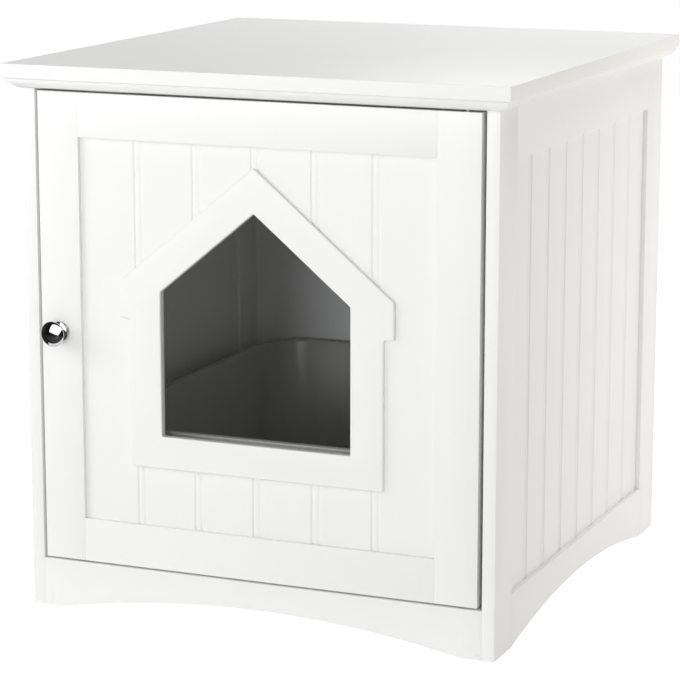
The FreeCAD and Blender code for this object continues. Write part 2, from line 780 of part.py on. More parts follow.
def make_top():
    """One moulded board; its rear edge is plain, because it stands at a wall."""
    body = new_body("top_blank")
    right = moulding(OUTER, 1)
    left = moulding(f"(-{OUTER})", -1)[::-1]
    section = with_arcs(right + left, {
        0: ("concave", "cove_radius"), 1: ("convex", "fascia_round"),
        3: ("convex", "arris_radius"), 5: ("convex", "arris_radius"),
        7: ("convex", "fascia_round"), 8: ("concave", "cove_radius")})
    start = f"({FRONT} - top_overhang - saw_allowance)"
    add_pad(body, "XZ_Plane", start, f"{REAR} + top_rear_overhang - {start}", section)
    front = moulding(FRONT, -1)
    waste = [
        (start + " - saw_allowance", f"{CEILING} - saw_allowance"),
        (FRONT, f"{CEILING} - saw_allowance"),
        *front,
        (front[-1][0], "total_height + saw_allowance"),
        (start + " - saw_allowance", "total_height + saw_allowance")]
    waste = with_arcs(waste, {
        2: ("convex", "cove_radius"), 3: ("concave", "fascia_round"),
        5: ("concave", "arris_radius")})
    add_pocket(body, "YZ_Plane", "-body_width", "2 * body_width", waste)
    return body


def make_apron():
    """Kick board under the door, arched between two feet."""
    body = new_body("apron_blank")
    add_pad(body, "XZ_Plane", FRONT, "apron_thickness", [
        (f"-{INNER}", "0"),
        (f"apron_foot - {INNER}", "0", "concave", arch_radius(f"2 * ({INNER} - apron_foot)")),
        (f"{INNER} - apron_foot", "0"),
        (INNER, "0"), (INNER, "apron_height"), (f"-{INNER}", "apron_height")])
    ease(body, "arris_radius",
         lambda span: same(span.YMin, FRONT) and same(span.YMax, FRONT)
         and span.XLength > number(f"1.2 * ({INNER} - apron_foot)"))
    return body


def make_back():
    """Thin back board in the rebates of the rear stiles, arched like the apron."""
    body = new_body("back_blank")
    edge = f"({INNER} + rebate_width - rebate_room)"
    add_pad(body, "XZ_Plane", BACK_FRONT, "back_thickness", [
        (f"-{edge}", "0"),
        (f"back_foot - {edge}", "0", "concave", arch_radius(f"2 * ({edge} - back_foot)")),
        (f"{edge} - back_foot", "0"),
        (edge, "0"), (edge, CEILING), (f"-{edge}", CEILING)])
    return body


def add_carcass():
    """The boards that join the two sides, and what fastens them."""
    add_sides()
    node(cut(make_top(), [TOP_DOWELS, BRACKET_HOLES, UPPER_SEAT, CATCH_HOLES], "top_panel"),
         "top_panel")
    node(cut(make_apron(), [APRON_DOWELS, LOWER_SEAT], "front_apron"), "front_apron")
    node(cut(make_back(), [BACK_HOLES], "back_panel"), "back_panel")
    floor = box("floor_blank", f"-{INNER}", FLOOR_FRONT, FLOOR_UNDER,
                f"2 * {INNER}", f"{BACK_FRONT} - {FLOOR_FRONT}", "floor_thickness")
    node(cut(floor, [FLOOR_HOLES], "floor_panel"), "floor_panel")
    strip = box("cleat_blank", f"-{INNER}", FLOOR_FRONT, CLEAT_UNDER,
                "cleat_width", f"{BACK_FRONT} - {FLOOR_FRONT}", "cleat_height")
    cleat = node(cut(strip, [CLEAT_HOLES, FLOOR_HOLES], "left_floor_cleat"), "left_floor_cleat")
    node(mirrored(cleat, "right_floor_cleat"), "right_floor_cleat")
    node(cut(BRACKET_BLANKS, [BRACKET_HOLES], "top_brackets"), "top_brackets")
    for item in (BRACKET_SCREWS, TOP_DOWELS, APRON_DOWELS, CLEAT_SCREWS, FLOOR_SCREWS,
                 BACK_SCREWS, LOWER_BUSH, UPPER_BUSH, CATCH_HOUSING, CATCH_MAGNET,
                 CATCH_POLES, CATCH_SCREWS):
        node(item, item.Name)


# ---------------------------------------------------------------- door

def make_door_stile():
    """Left upright of the door, grooved along its inner edge."""
    body = new_body("door_stile_blank")
    near, far = f"({FRONT} + {PANEL_OUT})", f"({FRONT} + {PANEL_IN})"
    rounded = ("convex", "arris_radius")
    add_pad(body, "XY_Plane", DOOR_BOTTOM, f"{DOOR_TOP} - {DOOR_BOTTOM}", [
        (f"{DOOR_LEFT} + arris_radius", FRONT),
        (f"{PANEL_LEFT} - arris_radius", FRONT, *rounded),
        (PANEL_LEFT, f"{FRONT} + arris_radius"),
        (PANEL_LEFT, near),
        (f"{PANEL_LEFT} - {GROOVE}", near),
        (f"{PANEL_LEFT} - {GROOVE}", far),
        (PANEL_LEFT, far),
        (PANEL_LEFT, DOOR_BACK),
        (DOOR_LEFT, DOOR_BACK),
        (DOOR_LEFT, f"{FRONT} + arris_radius", *rounded)])
    return body


def make_door_rail(name, bottom, groove_bottom, eased):
    """Cross rail of the door, with a stub tenon at each end and a groove for the panel."""
    body = new_body(name)
    add_pad(body, "XZ_Plane", FRONT, "door_thickness",
            rectangle(PANEL_LEFT, bottom, PANEL_RIGHT, f"{bottom} + door_rail"))
    add_pad(body, "XZ_Plane", f"{FRONT} + {PANEL_OUT}", "panel_thickness",
            rectangle(f"{PANEL_LEFT} - tongue", bottom, PANEL_LEFT, f"{bottom} + door_rail"),
            rectangle(PANEL_RIGHT, bottom, f"{PANEL_RIGHT} + tongue", f"{bottom} + door_rail"))
    add_pocket(body, "YZ_Plane", "-body_width", "2 * body_width",
               rectangle(f"{FRONT} + {PANEL_OUT}", groove_bottom,
                         f"{FRONT} + {PANEL_IN}", f"{groove_bottom} + {GROOVE}"))
    ease(body, "arris_radius",
         lambda span: same(span.YMin, FRONT) and same(span.YMax, FRONT)
         and any(same(span.ZMin, z) and same(span.ZMax, z) for z in eased))
    return body


def house(border, sill):
    """The doorway's outline, drawn bigger by a border all round."""
    half = f"(opening_width / 2 + {border})"
    apex = f"({APEX} + {border} * sqrt(1 + {PITCH}^2))"
    eaves = f"({apex} - {PITCH} * {half})"
    return [
        (f"{DOOR_MIDDLE} - {half}", f"{SILL} - {sill}"),
        (f"{DOOR_MIDDLE} + {half}", f"{SILL} - {sill}"),
        (f"{DOOR_MIDDLE} + {half}", eaves),
        (DOOR_MIDDLE, apex),
        (f"{DOOR_MIDDLE} - {half}", eaves)]


def bezel_outline():
    """Outside of the bezel: walls, overhanging eaves and a ridge."""
    wall = "(opening_width / 2 + trim_border)"
    tip = f"({wall} + eave_overhang)"
    gutter = f"({RIDGE} - {PITCH} * {tip})"
    under = f"({gutter} - eave_height)"
    right = [
        (f"{DOOR_MIDDLE} + {wall}", f"{SILL} - trim_sill"),
        (f"{DOOR_MIDDLE} + {wall}", f"{under} - eave_round", "concave", "eave_round"),
        (f"{DOOR_MIDDLE} + {wall} + eave_round", under),
        (f"{DOOR_MIDDLE} + {tip}", under),
        (f"{DOOR_MIDDLE} + {tip}", gutter)]
    left = [
        (f"{DOOR_MIDDLE} - {tip}", gutter),
        (f"{DOOR_MIDDLE} - {tip}", under),
        (f"{DOOR_MIDDLE} - {wall} - eave_round", under, "concave", "eave_round"),
        (f"{DOOR_MIDDLE} - {wall}", f"{under} - eave_round"),
        (f"{DOOR_MIDDLE} - {wall}", f"{SILL} - trim_sill")]
    return right + [(DOOR_MIDDLE, RIDGE)] + left


def make_bezel():
    """House-shaped bezel: a raised frame on the panel and a lining through it."""
    body = new_body("bezel_blank")
    add_pad(body, "XZ_Plane", f"{FRONT} + trim_setback", "panel_recess - trim_setback",
            bezel_outline(), house("0", "0"))
    add_pad(body, "XZ_Plane", f"{FRONT} + panel_recess", "panel_thickness",
            house("trim_lining", "trim_lining"), house("0", "0"))
    face = f"{FRONT} + trim_setback"
    ease(body, "trim_round", lambda span: same(span.YMin, face) and same(span.YMax, face))
    return body


def make_door_panel():
    """Thin beaded board of the door with the hole for the bezel's lining."""
    body = new_body("door_panel_blank")
    add_pad(body, "XZ_Plane", f"{FRONT} + {PANEL_OUT}", "panel_thickness",
            rectangle(f"{PANEL_LEFT} - tongue", f"{PANEL_BOTTOM} - tongue",
                      f"{PANEL_RIGHT} + tongue", f"{PANEL_TOP} + tongue"),
            house("trim_lining", "trim_lining"))
    pitch = f"({PANEL_RIGHT} - {PANEL_LEFT}) / door_boards"
    pocket = add_pocket(body, "XY_Plane", "0", "total_height",
                        bead(f"{PANEL_LEFT} + {pitch}", f"{FRONT} + {PANEL_OUT}", upright=False))
    repeat_beads(body, pocket, "X_Axis", pitch, "door_boards")
    return body


def add_door():
    """The framed door with its bezel, knob, pivot pins and strike plate."""
    stile = make_door_stile()
    hinge_stile = mirrored(stile, "hinge_stile_blank", DOOR_MIDDLE)
    node(cut(stile, [KNOB_SCREW], "door_latch_stile"), "door_latch_stile")
    node(cut(hinge_stile, [LOWER_PIN, UPPER_PIN], "door_hinge_stile"), "door_hinge_stile")
    high = f"({DOOR_TOP} - door_rail)"
    top = make_door_rail("door_top_rail_blank", high, high, (high,))
    node(cut(top, [STRIKE_HOLES], "door_top_rail"), "door_top_rail")
    seam = f"({DOOR_BOTTOM} + door_rail)"
    node(make_door_rail("door_bottom_rail_blank", DOOR_BOTTOM, f"{seam} - {GROOVE}", (seam,)),
         "door_bottom_rail")
    node(make_door_panel(), "door_bead_panel")
    node(make_bezel(), "door_house_trim")
    for item in (KNOB, KNOB_SCREW, LOWER_PIN, UPPER_PIN, STRIKE_PLATE, STRIKE_SCREWS):
        node(item, item.Name)


# ---------------------------------------------------------------- litter tray

def rounded_plan(width, depth, corner):
    """A rectangle with round corners, middle at the sketch's origin."""
    x, y = f"({width}) / 2", f"({depth}) / 2"
    arc = ("convex", corner)
    return [
        (f"{corner} - {x}", f"-{y}"), (f"{x} - {corner}", f"-{y}", *arc),
        (x, f"{corner} - {y}"), (x, f"{y} - {corner}", *arc),
        (f"{x} - {corner}", y), (f"{corner} - {x}", y, *arc),
        (f"-{x}", f"{y} - {corner}"), (f"-{x}", f"{corner} - {y}", *arc)]


def make_tray():
    """A moulded plastic tray with sloping walls, a rounded foot and a turned-out lip."""
    body = new_body("litter_tray")
    wide, deep = f"({TRAY_WIDTH} - 2 * tray_lip)", f"({TRAY_DEPTH} - 2 * tray_lip)"
    corner = "(tray_corner - tray_lip)"
    foot = rounded_plan(f"{wide} - 2 * tray_taper", f"{deep} - 2 * tray_taper",
                        f"({corner} - tray_taper)")
    loft = body.newObject("PartDesign::AdditiveLoft", "tray_loft")
    loft.Profile = add_sketch(body, "XY_Plane", "0", [foot])
    loft.Sections = [add_sketch(body, "XY_Plane", "tray_height", [rounded_plan(wide, deep, corner)])]
    loft.Ruled = True
    inside = body.newObject("PartDesign::SubtractiveLoft", "tray_inside")
    inside.Profile = add_sketch(body, "XY_Plane", "tray_wall", [rounded_plan(
        f"{wide} - 2 * tray_taper - 2 * tray_wall", f"{deep} - 2 * tray_taper - 2 * tray_wall",
        f"({corner} - tray_taper - tray_wall)")])
    inside.Sections = [add_sketch(body, "XY_Plane", "tray_height", [rounded_plan(
        f"{wide} - 2 * tray_wall", f"{deep} - 2 * tray_wall", f"({corner} - tray_wall)")])]
    inside.Ruled = True
    ease(body, "tray_foot_round - tray_wall",
         lambda span: same(span.ZMin, "tray_wall") and same(span.ZMax, "tray_wall"))
    ease(body, "tray_foot_round", lambda span: same(span.ZMax, "0"))
    add_pad(body, "XY_Plane", "tray_height - tray_lip_height", "tray_lip_height",
            rounded_plan(TRAY_WIDTH, TRAY_DEPTH, "tray_corner"),
            rounded_plan(f"{wide} - tray_wall", f"{deep} - tray_wall",
                         f"({corner} - tray_wall / 2)"))
    ease(body, "tray_lip_round",
         lambda span: same(span.ZMin, "tray_height") and same(span.ZMax, "tray_height"))
    bind(body, at_y=f"({TRAY_FRONT} + {TRAY_REAR}) / 2", at_z="apron_height")
    return body


# ---------------------------------------------------------------- check and export

def check_document():
    """Stop if an object failed or a piece has no sound solid."""
    DOC.recompute()
    for item in DOC.Objects:
        if {"Invalid", "Error"} & set(item.State):
            raise ValueError(f"{item.Label} failed: {item.State}")
    for item in NODES:
        shape = item.Shape
        if shape.isNull() or not shape.isValid() or not shape.Solids:
            raise ValueError(f"{item.Label} has no valid solid")


def export_nodes():
    os.makedirs("parts", exist_ok=True)
    for item in NODES:
        item.Shape.exportStep(f"parts/{item.Label}.step")
        extent = item.Shape.optimalBoundingBox()
        print(f"{item.Label}: {len(item.Shape.Solids)} solid(s), "
              f"{extent.XMin:.1f}..{extent.XMax:.1f}, {extent.YMin:.1f}..{extent.YMax:.1f}, "
              f"{extent.ZMin:.1f}..{extent.ZMax:.1f}")


add_carcass()
add_door()
node(make_tray(), "litter_tray")
check_document()
export_nodes()
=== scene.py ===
import math

import bpy
from mathutils import Matrix, Vector


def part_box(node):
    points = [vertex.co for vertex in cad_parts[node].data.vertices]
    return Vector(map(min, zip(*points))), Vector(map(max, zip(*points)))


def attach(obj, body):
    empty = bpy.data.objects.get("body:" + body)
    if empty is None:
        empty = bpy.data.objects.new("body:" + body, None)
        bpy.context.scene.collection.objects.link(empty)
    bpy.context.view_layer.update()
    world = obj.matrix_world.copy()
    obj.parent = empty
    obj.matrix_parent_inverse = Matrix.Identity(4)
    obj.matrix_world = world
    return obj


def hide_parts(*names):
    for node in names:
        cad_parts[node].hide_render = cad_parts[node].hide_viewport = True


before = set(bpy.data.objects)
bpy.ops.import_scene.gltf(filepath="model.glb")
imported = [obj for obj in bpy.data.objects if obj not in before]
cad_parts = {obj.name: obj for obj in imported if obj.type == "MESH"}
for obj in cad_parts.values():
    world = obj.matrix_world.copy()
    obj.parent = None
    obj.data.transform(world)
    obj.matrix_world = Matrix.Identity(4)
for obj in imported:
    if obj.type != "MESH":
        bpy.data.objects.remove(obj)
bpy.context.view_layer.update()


# ---------------------------------------------------------------------------------------
# Stiles of both sides. Four uprights of 12 mm board, grooved for the beaded panel and, at
# the rear, rebated for the back. They are sprayed with satin white paint after sanding,
# which rounds each arris a little and leaves a fine orange peel.

arris = 0.0003
groove_room = 0.0005
saw_room = 0.002
sharp_edge = math.radians(35)
smooth_edge = math.radians(32)
hair = 1e-5
facing = 0.9


def sawn_block(name, low, high):
    """A block of board between two corners."""
    low, high = Vector(low), Vector(high)
    bpy.ops.object.select_all(action="DESELECT")
    bpy.ops.mesh.primitive_cube_add(size=1.0, location=(low + high) / 2, scale=high - low)
    block = bpy.context.object
    block.name = block.data.name = name
    bpy.ops.object.transform_apply(location=True, rotation=True, scale=True)
    return block


def work_on(piece):
    """Make this piece the only selected one."""
    bpy.ops.object.select_all(action="DESELECT")
    piece.select_set(True)
    bpy.context.view_layer.objects.active = piece


def finish_modifier(piece, modifier):
    """Make a modifier's result the piece's own mesh."""
    work_on(piece)
    bpy.ops.object.modifier_apply(modifier=modifier.name)


def sand(piece, radius=arris, rounds=2):
    """Round every arris of a piece."""
    bevel = piece.modifiers.new("sanded", "BEVEL")
    bevel.width = radius
    bevel.segments = rounds
    bevel.limit_method = "ANGLE"
    bevel.angle_limit = sharp_edge
    finish_modifier(piece, bevel)


def cut_away(piece, cutter):
    """Take the cutter's volume out of a piece."""
    boolean = piece.modifiers.new("cut", "BOOLEAN")
    boolean.operation = "DIFFERENCE"
    boolean.solver = "EXACT"
    boolean.object = cutter
    finish_modifier(piece, boolean)
    bpy.data.objects.remove(cutter)


def mill(piece, low, high):
    """Run a square cutter between two corners of a piece."""
    cut_away(piece, sawn_block("cutter", low, high))


def link(tree, source, target):
    """Join an output to an input."""
    tree.links.new(source, target)


def add_node(tree, kind, place, **settings):
    """Put one shader node on the sheet, with its settings and plain input values."""
    shader = tree.nodes.new(kind)
    shader.location = place
    for name, value in settings.pop("inputs", {}).items():
        shader.inputs[name].default_value = value
    for name, value in settings.items():
        setattr(shader, name, value)
    return shader


def new_group(name, sockets):
    """A node group with these inputs, whose outputs are a colour, a roughness and a height."""
    group = bpy.data.node_groups.new(name, "ShaderNodeTree")
    for label, kind, value in sockets:
        socket = group.interface.new_socket(label, in_out="INPUT", socket_type=kind)
        socket.default_value = value
    for label, kind in (("Color", "NodeSocketColor"), ("Roughness", "NodeSocketFloat"),
                        ("Height", "NodeSocketFloat")):
        group.interface.new_socket(label, in_out="OUTPUT", socket_type=kind)
    inputs = add_node(group, "NodeGroupInput", (-900, 0))
    outputs = add_node(group, "NodeGroupOutput", (700, 0))
    return group, inputs, outputs


def new_material(name):
    """A material, its sheet of nodes and its shader."""
    material = bpy.data.materials.new(name)
    material.use_nodes = True
    tree = material.node_tree
    return material, tree, tree.nodes["Principled BSDF"]


def add_relief(tree, shader, height, strength, depth):
    """Let a height raise the shader's surface, by a depth in metres."""
    bump = add_node(tree, "ShaderNodeBump", (-250, -300),
                    inputs={"Strength": strength, "Distance": depth})
    link(tree, height, bump.inputs["Height"])
    link(tree, bump.outputs["Normal"], shader.inputs["Normal"])


def paint_film_group():
    """Sprayed paint: a slow drift between two tones, orange peel, and scuffs near the floor."""
    group, inputs, outputs = new_group("paint_film", (
        ("Paint", "NodeSocketColor", (0.8, 0.8, 0.8, 1)),
        ("Thin Paint", "NodeSocketColor", (0.78, 0.78, 0.78, 1)),
        ("Scuff", "NodeSocketColor", (0.5, 0.48, 0.45, 1)),
        ("Sheen Low", "NodeSocketFloat", 0.35),
        ("Sheen High", "NodeSocketFloat", 0.48)))
    place = add_node(group, "ShaderNodeTexCoord", (-1100, -200))

    drift = add_node(group, "ShaderNodeTexNoise", (-700, 200),
                     inputs={"Scale": 5.0, "Detail": 3.0, "Roughness": 0.5})
    link(group, place.outputs["Object"], drift.inputs["Vector"])
    tone = add_node(group, "ShaderNodeMix", (-400, 200), data_type="RGBA")
    link(group, drift.outputs["Fac"], tone.inputs[0])
    link(group, inputs.outputs["Paint"], tone.inputs[6])
    link(group, inputs.outputs["Thin Paint"], tone.inputs[7])

    height = add_node(group, "ShaderNodeSeparateXYZ", (-900, -300))
    link(group, place.outputs["Object"], height.inputs[0])
    near_floor = add_node(group, "ShaderNodeMapRange", (-700, -300), inputs={
        "From Min": 0.0, "From Max": 0.018, "To Min": 1.0, "To Max": 0.0})
    link(group, height.outputs["Z"], near_floor.inputs["Value"])
    grit = add_node(group, "ShaderNodeTexNoise", (-700, -550),
                    inputs={"Scale": 140.0, "Detail": 6.0, "Roughness": 0.65})
    link(group, place.outputs["Object"], grit.inputs["Vector"])
    spots = add_node(group, "ShaderNodeMapRange", (-450, -550), inputs={
        "From Min": 0.56, "From Max": 0.74, "To Min": 0.0, "To Max": 0.35})
    link(group, grit.outputs["Fac"], spots.inputs["Value"])
    worn = add_node(group, "ShaderNodeMath", (-250, -400), operation="MULTIPLY")
    link(group, near_floor.outputs["Result"], worn.inputs[0])
    link(group, spots.outputs["Result"], worn.inputs[1])
    scuffed = add_node(group, "ShaderNodeMix", (0, 100), data_type="RGBA")
    link(group, worn.outputs["Value"], scuffed.inputs[0])
    link(group, tone.outputs[2], scuffed.inputs[6])
    link(group, inputs.outputs["Scuff"], scuffed.inputs[7])
    link(group, scuffed.outputs[2], outputs.inputs["Color"])

    peel = add_node(group, "ShaderNodeTexNoise", (-700, -850),
                    inputs={"Scale": 420.0, "Detail": 2.0, "Roughness": 0.4})
    link(group, place.outputs["Object"], peel.inputs["Vector"])
    nibs = add_node(group, "ShaderNodeTexNoise", (-700, -1100),
                    inputs={"Scale": 60.0, "Detail": 4.0, "Roughness": 0.6})
    link(group, place.outputs["Object"], nibs.inputs["Vector"])
    film = add_node(group, "ShaderNodeMath", (-400, -900), operation="ADD")
    link(group, peel.outputs["Fac"], film.inputs[0])
    link(group, nibs.outputs["Fac"], film.inputs[1])
    link(group, film.outputs["Value"], outputs.inputs["Height"])

    sheen = add_node(group, "ShaderNodeMapRange", (0, -300))
    link(group, nibs.outputs["Fac"], sheen.inputs["Value"])
    link(group, inputs.outputs["Sheen Low"], sheen.inputs["To Min"])
    link(group, inputs.outputs["Sheen High"], sheen.inputs["To Max"])
    link(group, sheen.outputs["Result"], outputs.inputs["Roughness"])
    return group


paint_film = paint_film_group()


def painted(name, paint, thin_paint, sheen, peel_depth):
    """Sprayed paint of one colour, with its sheen between two roughnesses."""
    material, tree, shader = new_material(name)
    shader.inputs["IOR"].default_value = 1.47
    film = add_node(tree, "ShaderNodeGroup", (-500, 0), node_tree=paint_film)
    film.inputs["Paint"].default_value = (*paint, 1)
    film.inputs["Thin Paint"].default_value = (*thin_paint, 1)
    film.inputs["Sheen Low"].default_value, film.inputs["Sheen High"].default_value = sheen
    link(tree, film.outputs["Color"], shader.inputs["Base Color"])
    link(tree, film.outputs["Roughness"], shader.inputs["Roughness"])
    add_relief(tree, shader, film.outputs["Height"], 0.35, peel_depth)
    return material


satin_white = painted("satin_white_paint", (0.855, 0.857, 0.850), (0.835, 0.838, 0.832),
                      (0.36, 0.50), 0.00012)


def fit(piece, name, body, node, material):
    """Finish a piece, and give it the place of its node in the cabinet."""
    piece.name = piece.data.name = name
    piece.data.materials.clear()
    piece.data.materials.append(material)
    work_on(piece)
    bpy.ops.object.shade_smooth_by_angle(angle=smooth_edge)
    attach(piece, body)
    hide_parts(node)


def finish_node(node, material):
    """Give a piece of the frame its finish, in all its slots."""
    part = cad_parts[node]
    part.data.materials.clear()
    part.data.materials.append(material)


back_low, back_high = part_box("back_panel")
for hand in ("left", "right"):
    panel_low, panel_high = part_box(f"{hand}_bead_panel")
    for row in ("front", "rear"):
        low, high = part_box(f"{hand}_{row}_stile")
        stile = sawn_block("stile", low, high)
        sand(stile)
        groove = ((panel_low.y - groove_room, high.y + saw_room) if row == "front"
                  else (low.y - saw_room, panel_high.y + groove_room))
        mill(stile, (panel_low.x, groove[0], low.z - saw_room),
             (panel_high.x, groove[1], high.z + saw_room))
        if row == "rear":
            inner = min(abs(low.x), abs(high.x)) - saw_room
            rebate = sorted((math.copysign(inner, low.x),
                             math.copysign(back_high.x + groove_room, low.x)))
            mill(stile, (rebate[0], back_low.y, low.z - saw_room),
                 (rebate[1], back_high.y + saw_room, high.z + saw_room))
        fit(stile, f"{hand}_{row}_upright", "cabinet", f"{hand}_{row}_stile",
            satin_white)


# ---------------------------------------------------------------------------------------
# Rails of both sides. The upper rail is square, and the lower one is sawn to a shallow arch
# so that the cabinet stands on four feet. They reach from stile to stile, and a groove
# runs along each for the panel.

arch_rise = 0.020
arch_steps = 40


def pick(piece, items, kind, wanted):
    """Open a piece for editing with only the wanted ones of its points or faces selected."""
    work_on(piece)
    for others in (piece.data.vertices, piece.data.edges, piece.data.polygons):
        others.foreach_set("select", [False] * len(others))
    for item in items:
        item.select = wanted(item)
    bpy.ops.object.mode_set(mode="EDIT")
    bpy.ops.mesh.select_mode(type=kind)


def pick_faces(piece, wanted):
    """Pick faces by their middle and their normal."""
    pick(piece, piece.data.polygons, "FACE", lambda face: wanted(face.center, face.normal))


def pick_points(piece, wanted):
    """Pick points by their place."""
    pick(piece, piece.data.vertices, "VERT", lambda point: wanted(point.co))


def leave_editing():
    """Go back to whole objects."""
    bpy.ops.object.mode_set(mode="OBJECT")


def score(piece, axis, places):
    """Divide a piece square to an axis at each of the places."""
    work_on(piece)
    bpy.ops.object.mode_set(mode="EDIT")
    square = Vector((0, 0, 0))
    square[axis] = 1
    for place in places:
        bpy.ops.mesh.select_all(action="SELECT")
        bpy.ops.mesh.bisect(plane_co=square * place, plane_no=square)
    leave_editing()


def saw_arch(piece, axis, start, end, rise):
    """Raise the lower edge of a piece to an arch between two places along an axis."""
    middle, half = (start + end) / 2, (end - start) / 2
    radius = (half ** 2 + rise ** 2) / (2 * rise)
    floor = min(point.co.z for point in piece.data.vertices)
    stations = [start + (end - start) * n / arch_steps for n in range(arch_steps + 1)]
    score(piece, axis, stations)
    for place in stations:
        lift = math.sqrt(radius ** 2 - (place - middle) ** 2) - (radius - rise)
        pick_points(piece, lambda co: abs(co[axis] - place) < hair and co.z < floor + hair)
        bpy.ops.transform.translate(value=(0, 0, lift))
        leave_editing()


for hand in ("left", "right"):
    panel_low, panel_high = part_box(f"{hand}_bead_panel")
    shoulder_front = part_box(f"{hand}_front_stile")[1].y
    shoulder_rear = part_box(f"{hand}_rear_stile")[0].y
    for row in ("top", "bottom"):
        low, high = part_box(f"{hand}_{row}_rail")
        rail = sawn_block("rail", (low.x, shoulder_front, low.z), (high.x, shoulder_rear, high.z))
        if row == "bottom":
            saw_arch(rail, 1, shoulder_front, shoulder_rear, arch_rise)
            groove = (panel_low.z - groove_room, high.z + saw_room)
        else:
            groove = (low.z - saw_room, panel_high.z + groove_room)
        sand(rail)
        mill(rail, (panel_low.x, low.y - saw_room, groove[0]),
             (panel_high.x, high.y + saw_room, groove[1]))
        fit(rail, f"{hand}_{row}_cross_rail", "cabinet", f"{hand}_{row}_rail",
            satin_white)


# ---------------------------------------------------------------------------------------
# Beaded panels of both sides. Each is one thin board, moulded to look like eight narrow
# ones: two sharp quirks with a low round bead between them mark every joint.

side_boards = 8
bead_spacing = 0.0063
bead_depth = 0.0011
bead_flank = 0.0015
bead_crown_drop = 0.0002
bead_rounds = 6


def bead_section():
    """Points across one double groove: (distance from its middle, depth)."""
    half = bead_spacing / 2
    rise = bead_depth - bead_crown_drop
    radius = (half ** 2 + rise ** 2) / (2 * rise)
    crown = []
    for n in range(bead_rounds + 1):
        along = bead_spacing * n / bead_rounds - half
        lift = math.sqrt(radius ** 2 - along ** 2) - (radius - rise)
        crown.append((along, bead_depth - lift))
    return [(-half - bead_flank, 0.0), *crown, (half + bead_flank, 0.0)]


def beaded_board(name, low, high, along, face, outward, start, pitch, boards):
    """A thin board with double grooves in one face.

    along is the axis across the grooves, face the axis of the thickness, outward the sign
    of the moulded side. The first board begins at start, and every board is a pitch wide.
    """
    first, last = list(low), list(high)
    first[along], last[along] = start + pitch / 2, start + pitch * 1.5
    strip = sawn_block(name, first, last)
    surface = high[face] if outward > 0 else low[face]
    section = bead_section()
    score(strip, along, [start + pitch + across for across, _ in section])
    for across, depth in section[1:-1]:
        place = start + pitch + across
        pick_points(strip, lambda co: abs(co[along] - place) < hair
                    and abs(co[face] - surface) < hair)
        shift = [0, 0, 0]
        shift[face] = -outward * depth
        bpy.ops.transform.translate(value=shift)
        leave_editing()
    pick_faces(strip, lambda middle, normal: abs(normal[along]) > facing
               and abs(abs(middle[along] - start - pitch) - pitch / 2) < hair)
    bpy.ops.mesh.delete(type="FACE")
    leave_editing()
    repeat = strip.modifiers.new("boards", "ARRAY")
    repeat.count = boards - 1
    repeat.use_relative_offset = False
    repeat.use_constant_offset = True
    step = [0, 0, 0]
    step[along] = pitch
    repeat.constant_offset_displace = step
    repeat.use_merge_vertices = True
    repeat.merge_threshold = hair
    finish_modifier(strip, repeat)
    for end, edge in ((low[along], start + pitch / 2),
                      (high[along], start + pitch * (boards - 0.5))):
        pick_points(strip, lambda co: abs(co[along] - edge) < hair)
        shift = [0, 0, 0]
        shift[along] = end - edge
        bpy.ops.transform.translate(value=shift)
        bpy.ops.mesh.edge_face_add()
        leave_editing()
    work_on(strip)
    bpy.ops.object.mode_set(mode="EDIT")
    bpy.ops.mesh.select_all(action="SELECT")
    bpy.ops.mesh.normals_make_consistent(inside=False)
    leave_editing()
    return strip


for hand, outward in (("left", -1), ("right", 1)):
    low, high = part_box(f"{hand}_bead_panel")
    shoulder_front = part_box(f"{hand}_front_stile")[1].y
    shoulder_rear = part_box(f"{hand}_rear_stile")[0].y
    pitch = (shoulder_rear - shoulder_front) / side_boards
    boards = beaded_board("boards", low, high, 1, 0, outward, shoulder_front, pitch, side_boards)
    fit(boards, f"{hand}_beaded_boards", "cabinet", f"{hand}_bead_panel",
        satin_white)


# ---------------------------------------------------------------------------------------
# Back, floor and cleats. The back is a thin painted board screwed into the rebates of the
# rear stiles; the floor is a 12 mm board on two cleats. Their screw holes are drilled, so
# they keep the shape of the frame, and take a flatter coat of the same paint.

flat_white = painted("flat_white_paint", (0.845, 0.847, 0.842), (0.815, 0.817, 0.812),
                     (0.46, 0.60), 0.00020)
for node in ("back_panel", "floor_panel", "left_floor_cleat", "right_floor_cleat"):
    finish_node(node, flat_white)


# ---------------------------------------------------------------------------------------
# Apron. The kick board under the door, sawn to an arch between two feet and dowelled
# between the sides. The lower pivot bush sits in a blind hole in its upper edge.

apron_foot = 0.019
drill_sides = 48


def drill(piece, place, radius, depth, down=True):
    """Drill a blind hole from a place, downwards or upwards."""
    reach = depth + saw_room
    middle = place.z + (saw_room - depth) / 2 * (1 if down else -1)
    bpy.ops.object.select_all(action="DESELECT")
    bpy.ops.mesh.primitive_cylinder_add(vertices=drill_sides, radius=radius, depth=reach,
                                        location=(place.x, place.y, middle))
    cut_away(piece, bpy.context.object)


low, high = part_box("front_apron")
apron = sawn_block("apron", low, high)
saw_arch(apron, 0, low.x + apron_foot, high.x - apron_foot, arch_rise)
sand(apron)
bush_low, bush_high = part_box("lower_pivot_bush")
bush_middle = (bush_low + bush_high) / 2
bush_radius = (bush_high.x - bush_low.x) / 2
drill(apron, Vector((bush_middle.x, bush_middle.y, high.z)), bush_radius,
      high.z - bush_low.z)
fit(apron, "arched_apron", "cabinet", "front_apron", satin_white)


# ---------------------------------------------------------------------------------------
# Top board. One thick board that overhangs the front and both sides, moulded underneath on
# those three edges: a square fascia, a small round and a long shallow cove. Its rear edge
# is plain, because it stands at a wall.

fascia_height = 0.0128
fascia_round = 0.003
top_overhang = 0.014
cove_radius = 0.018
top_arris = 0.001


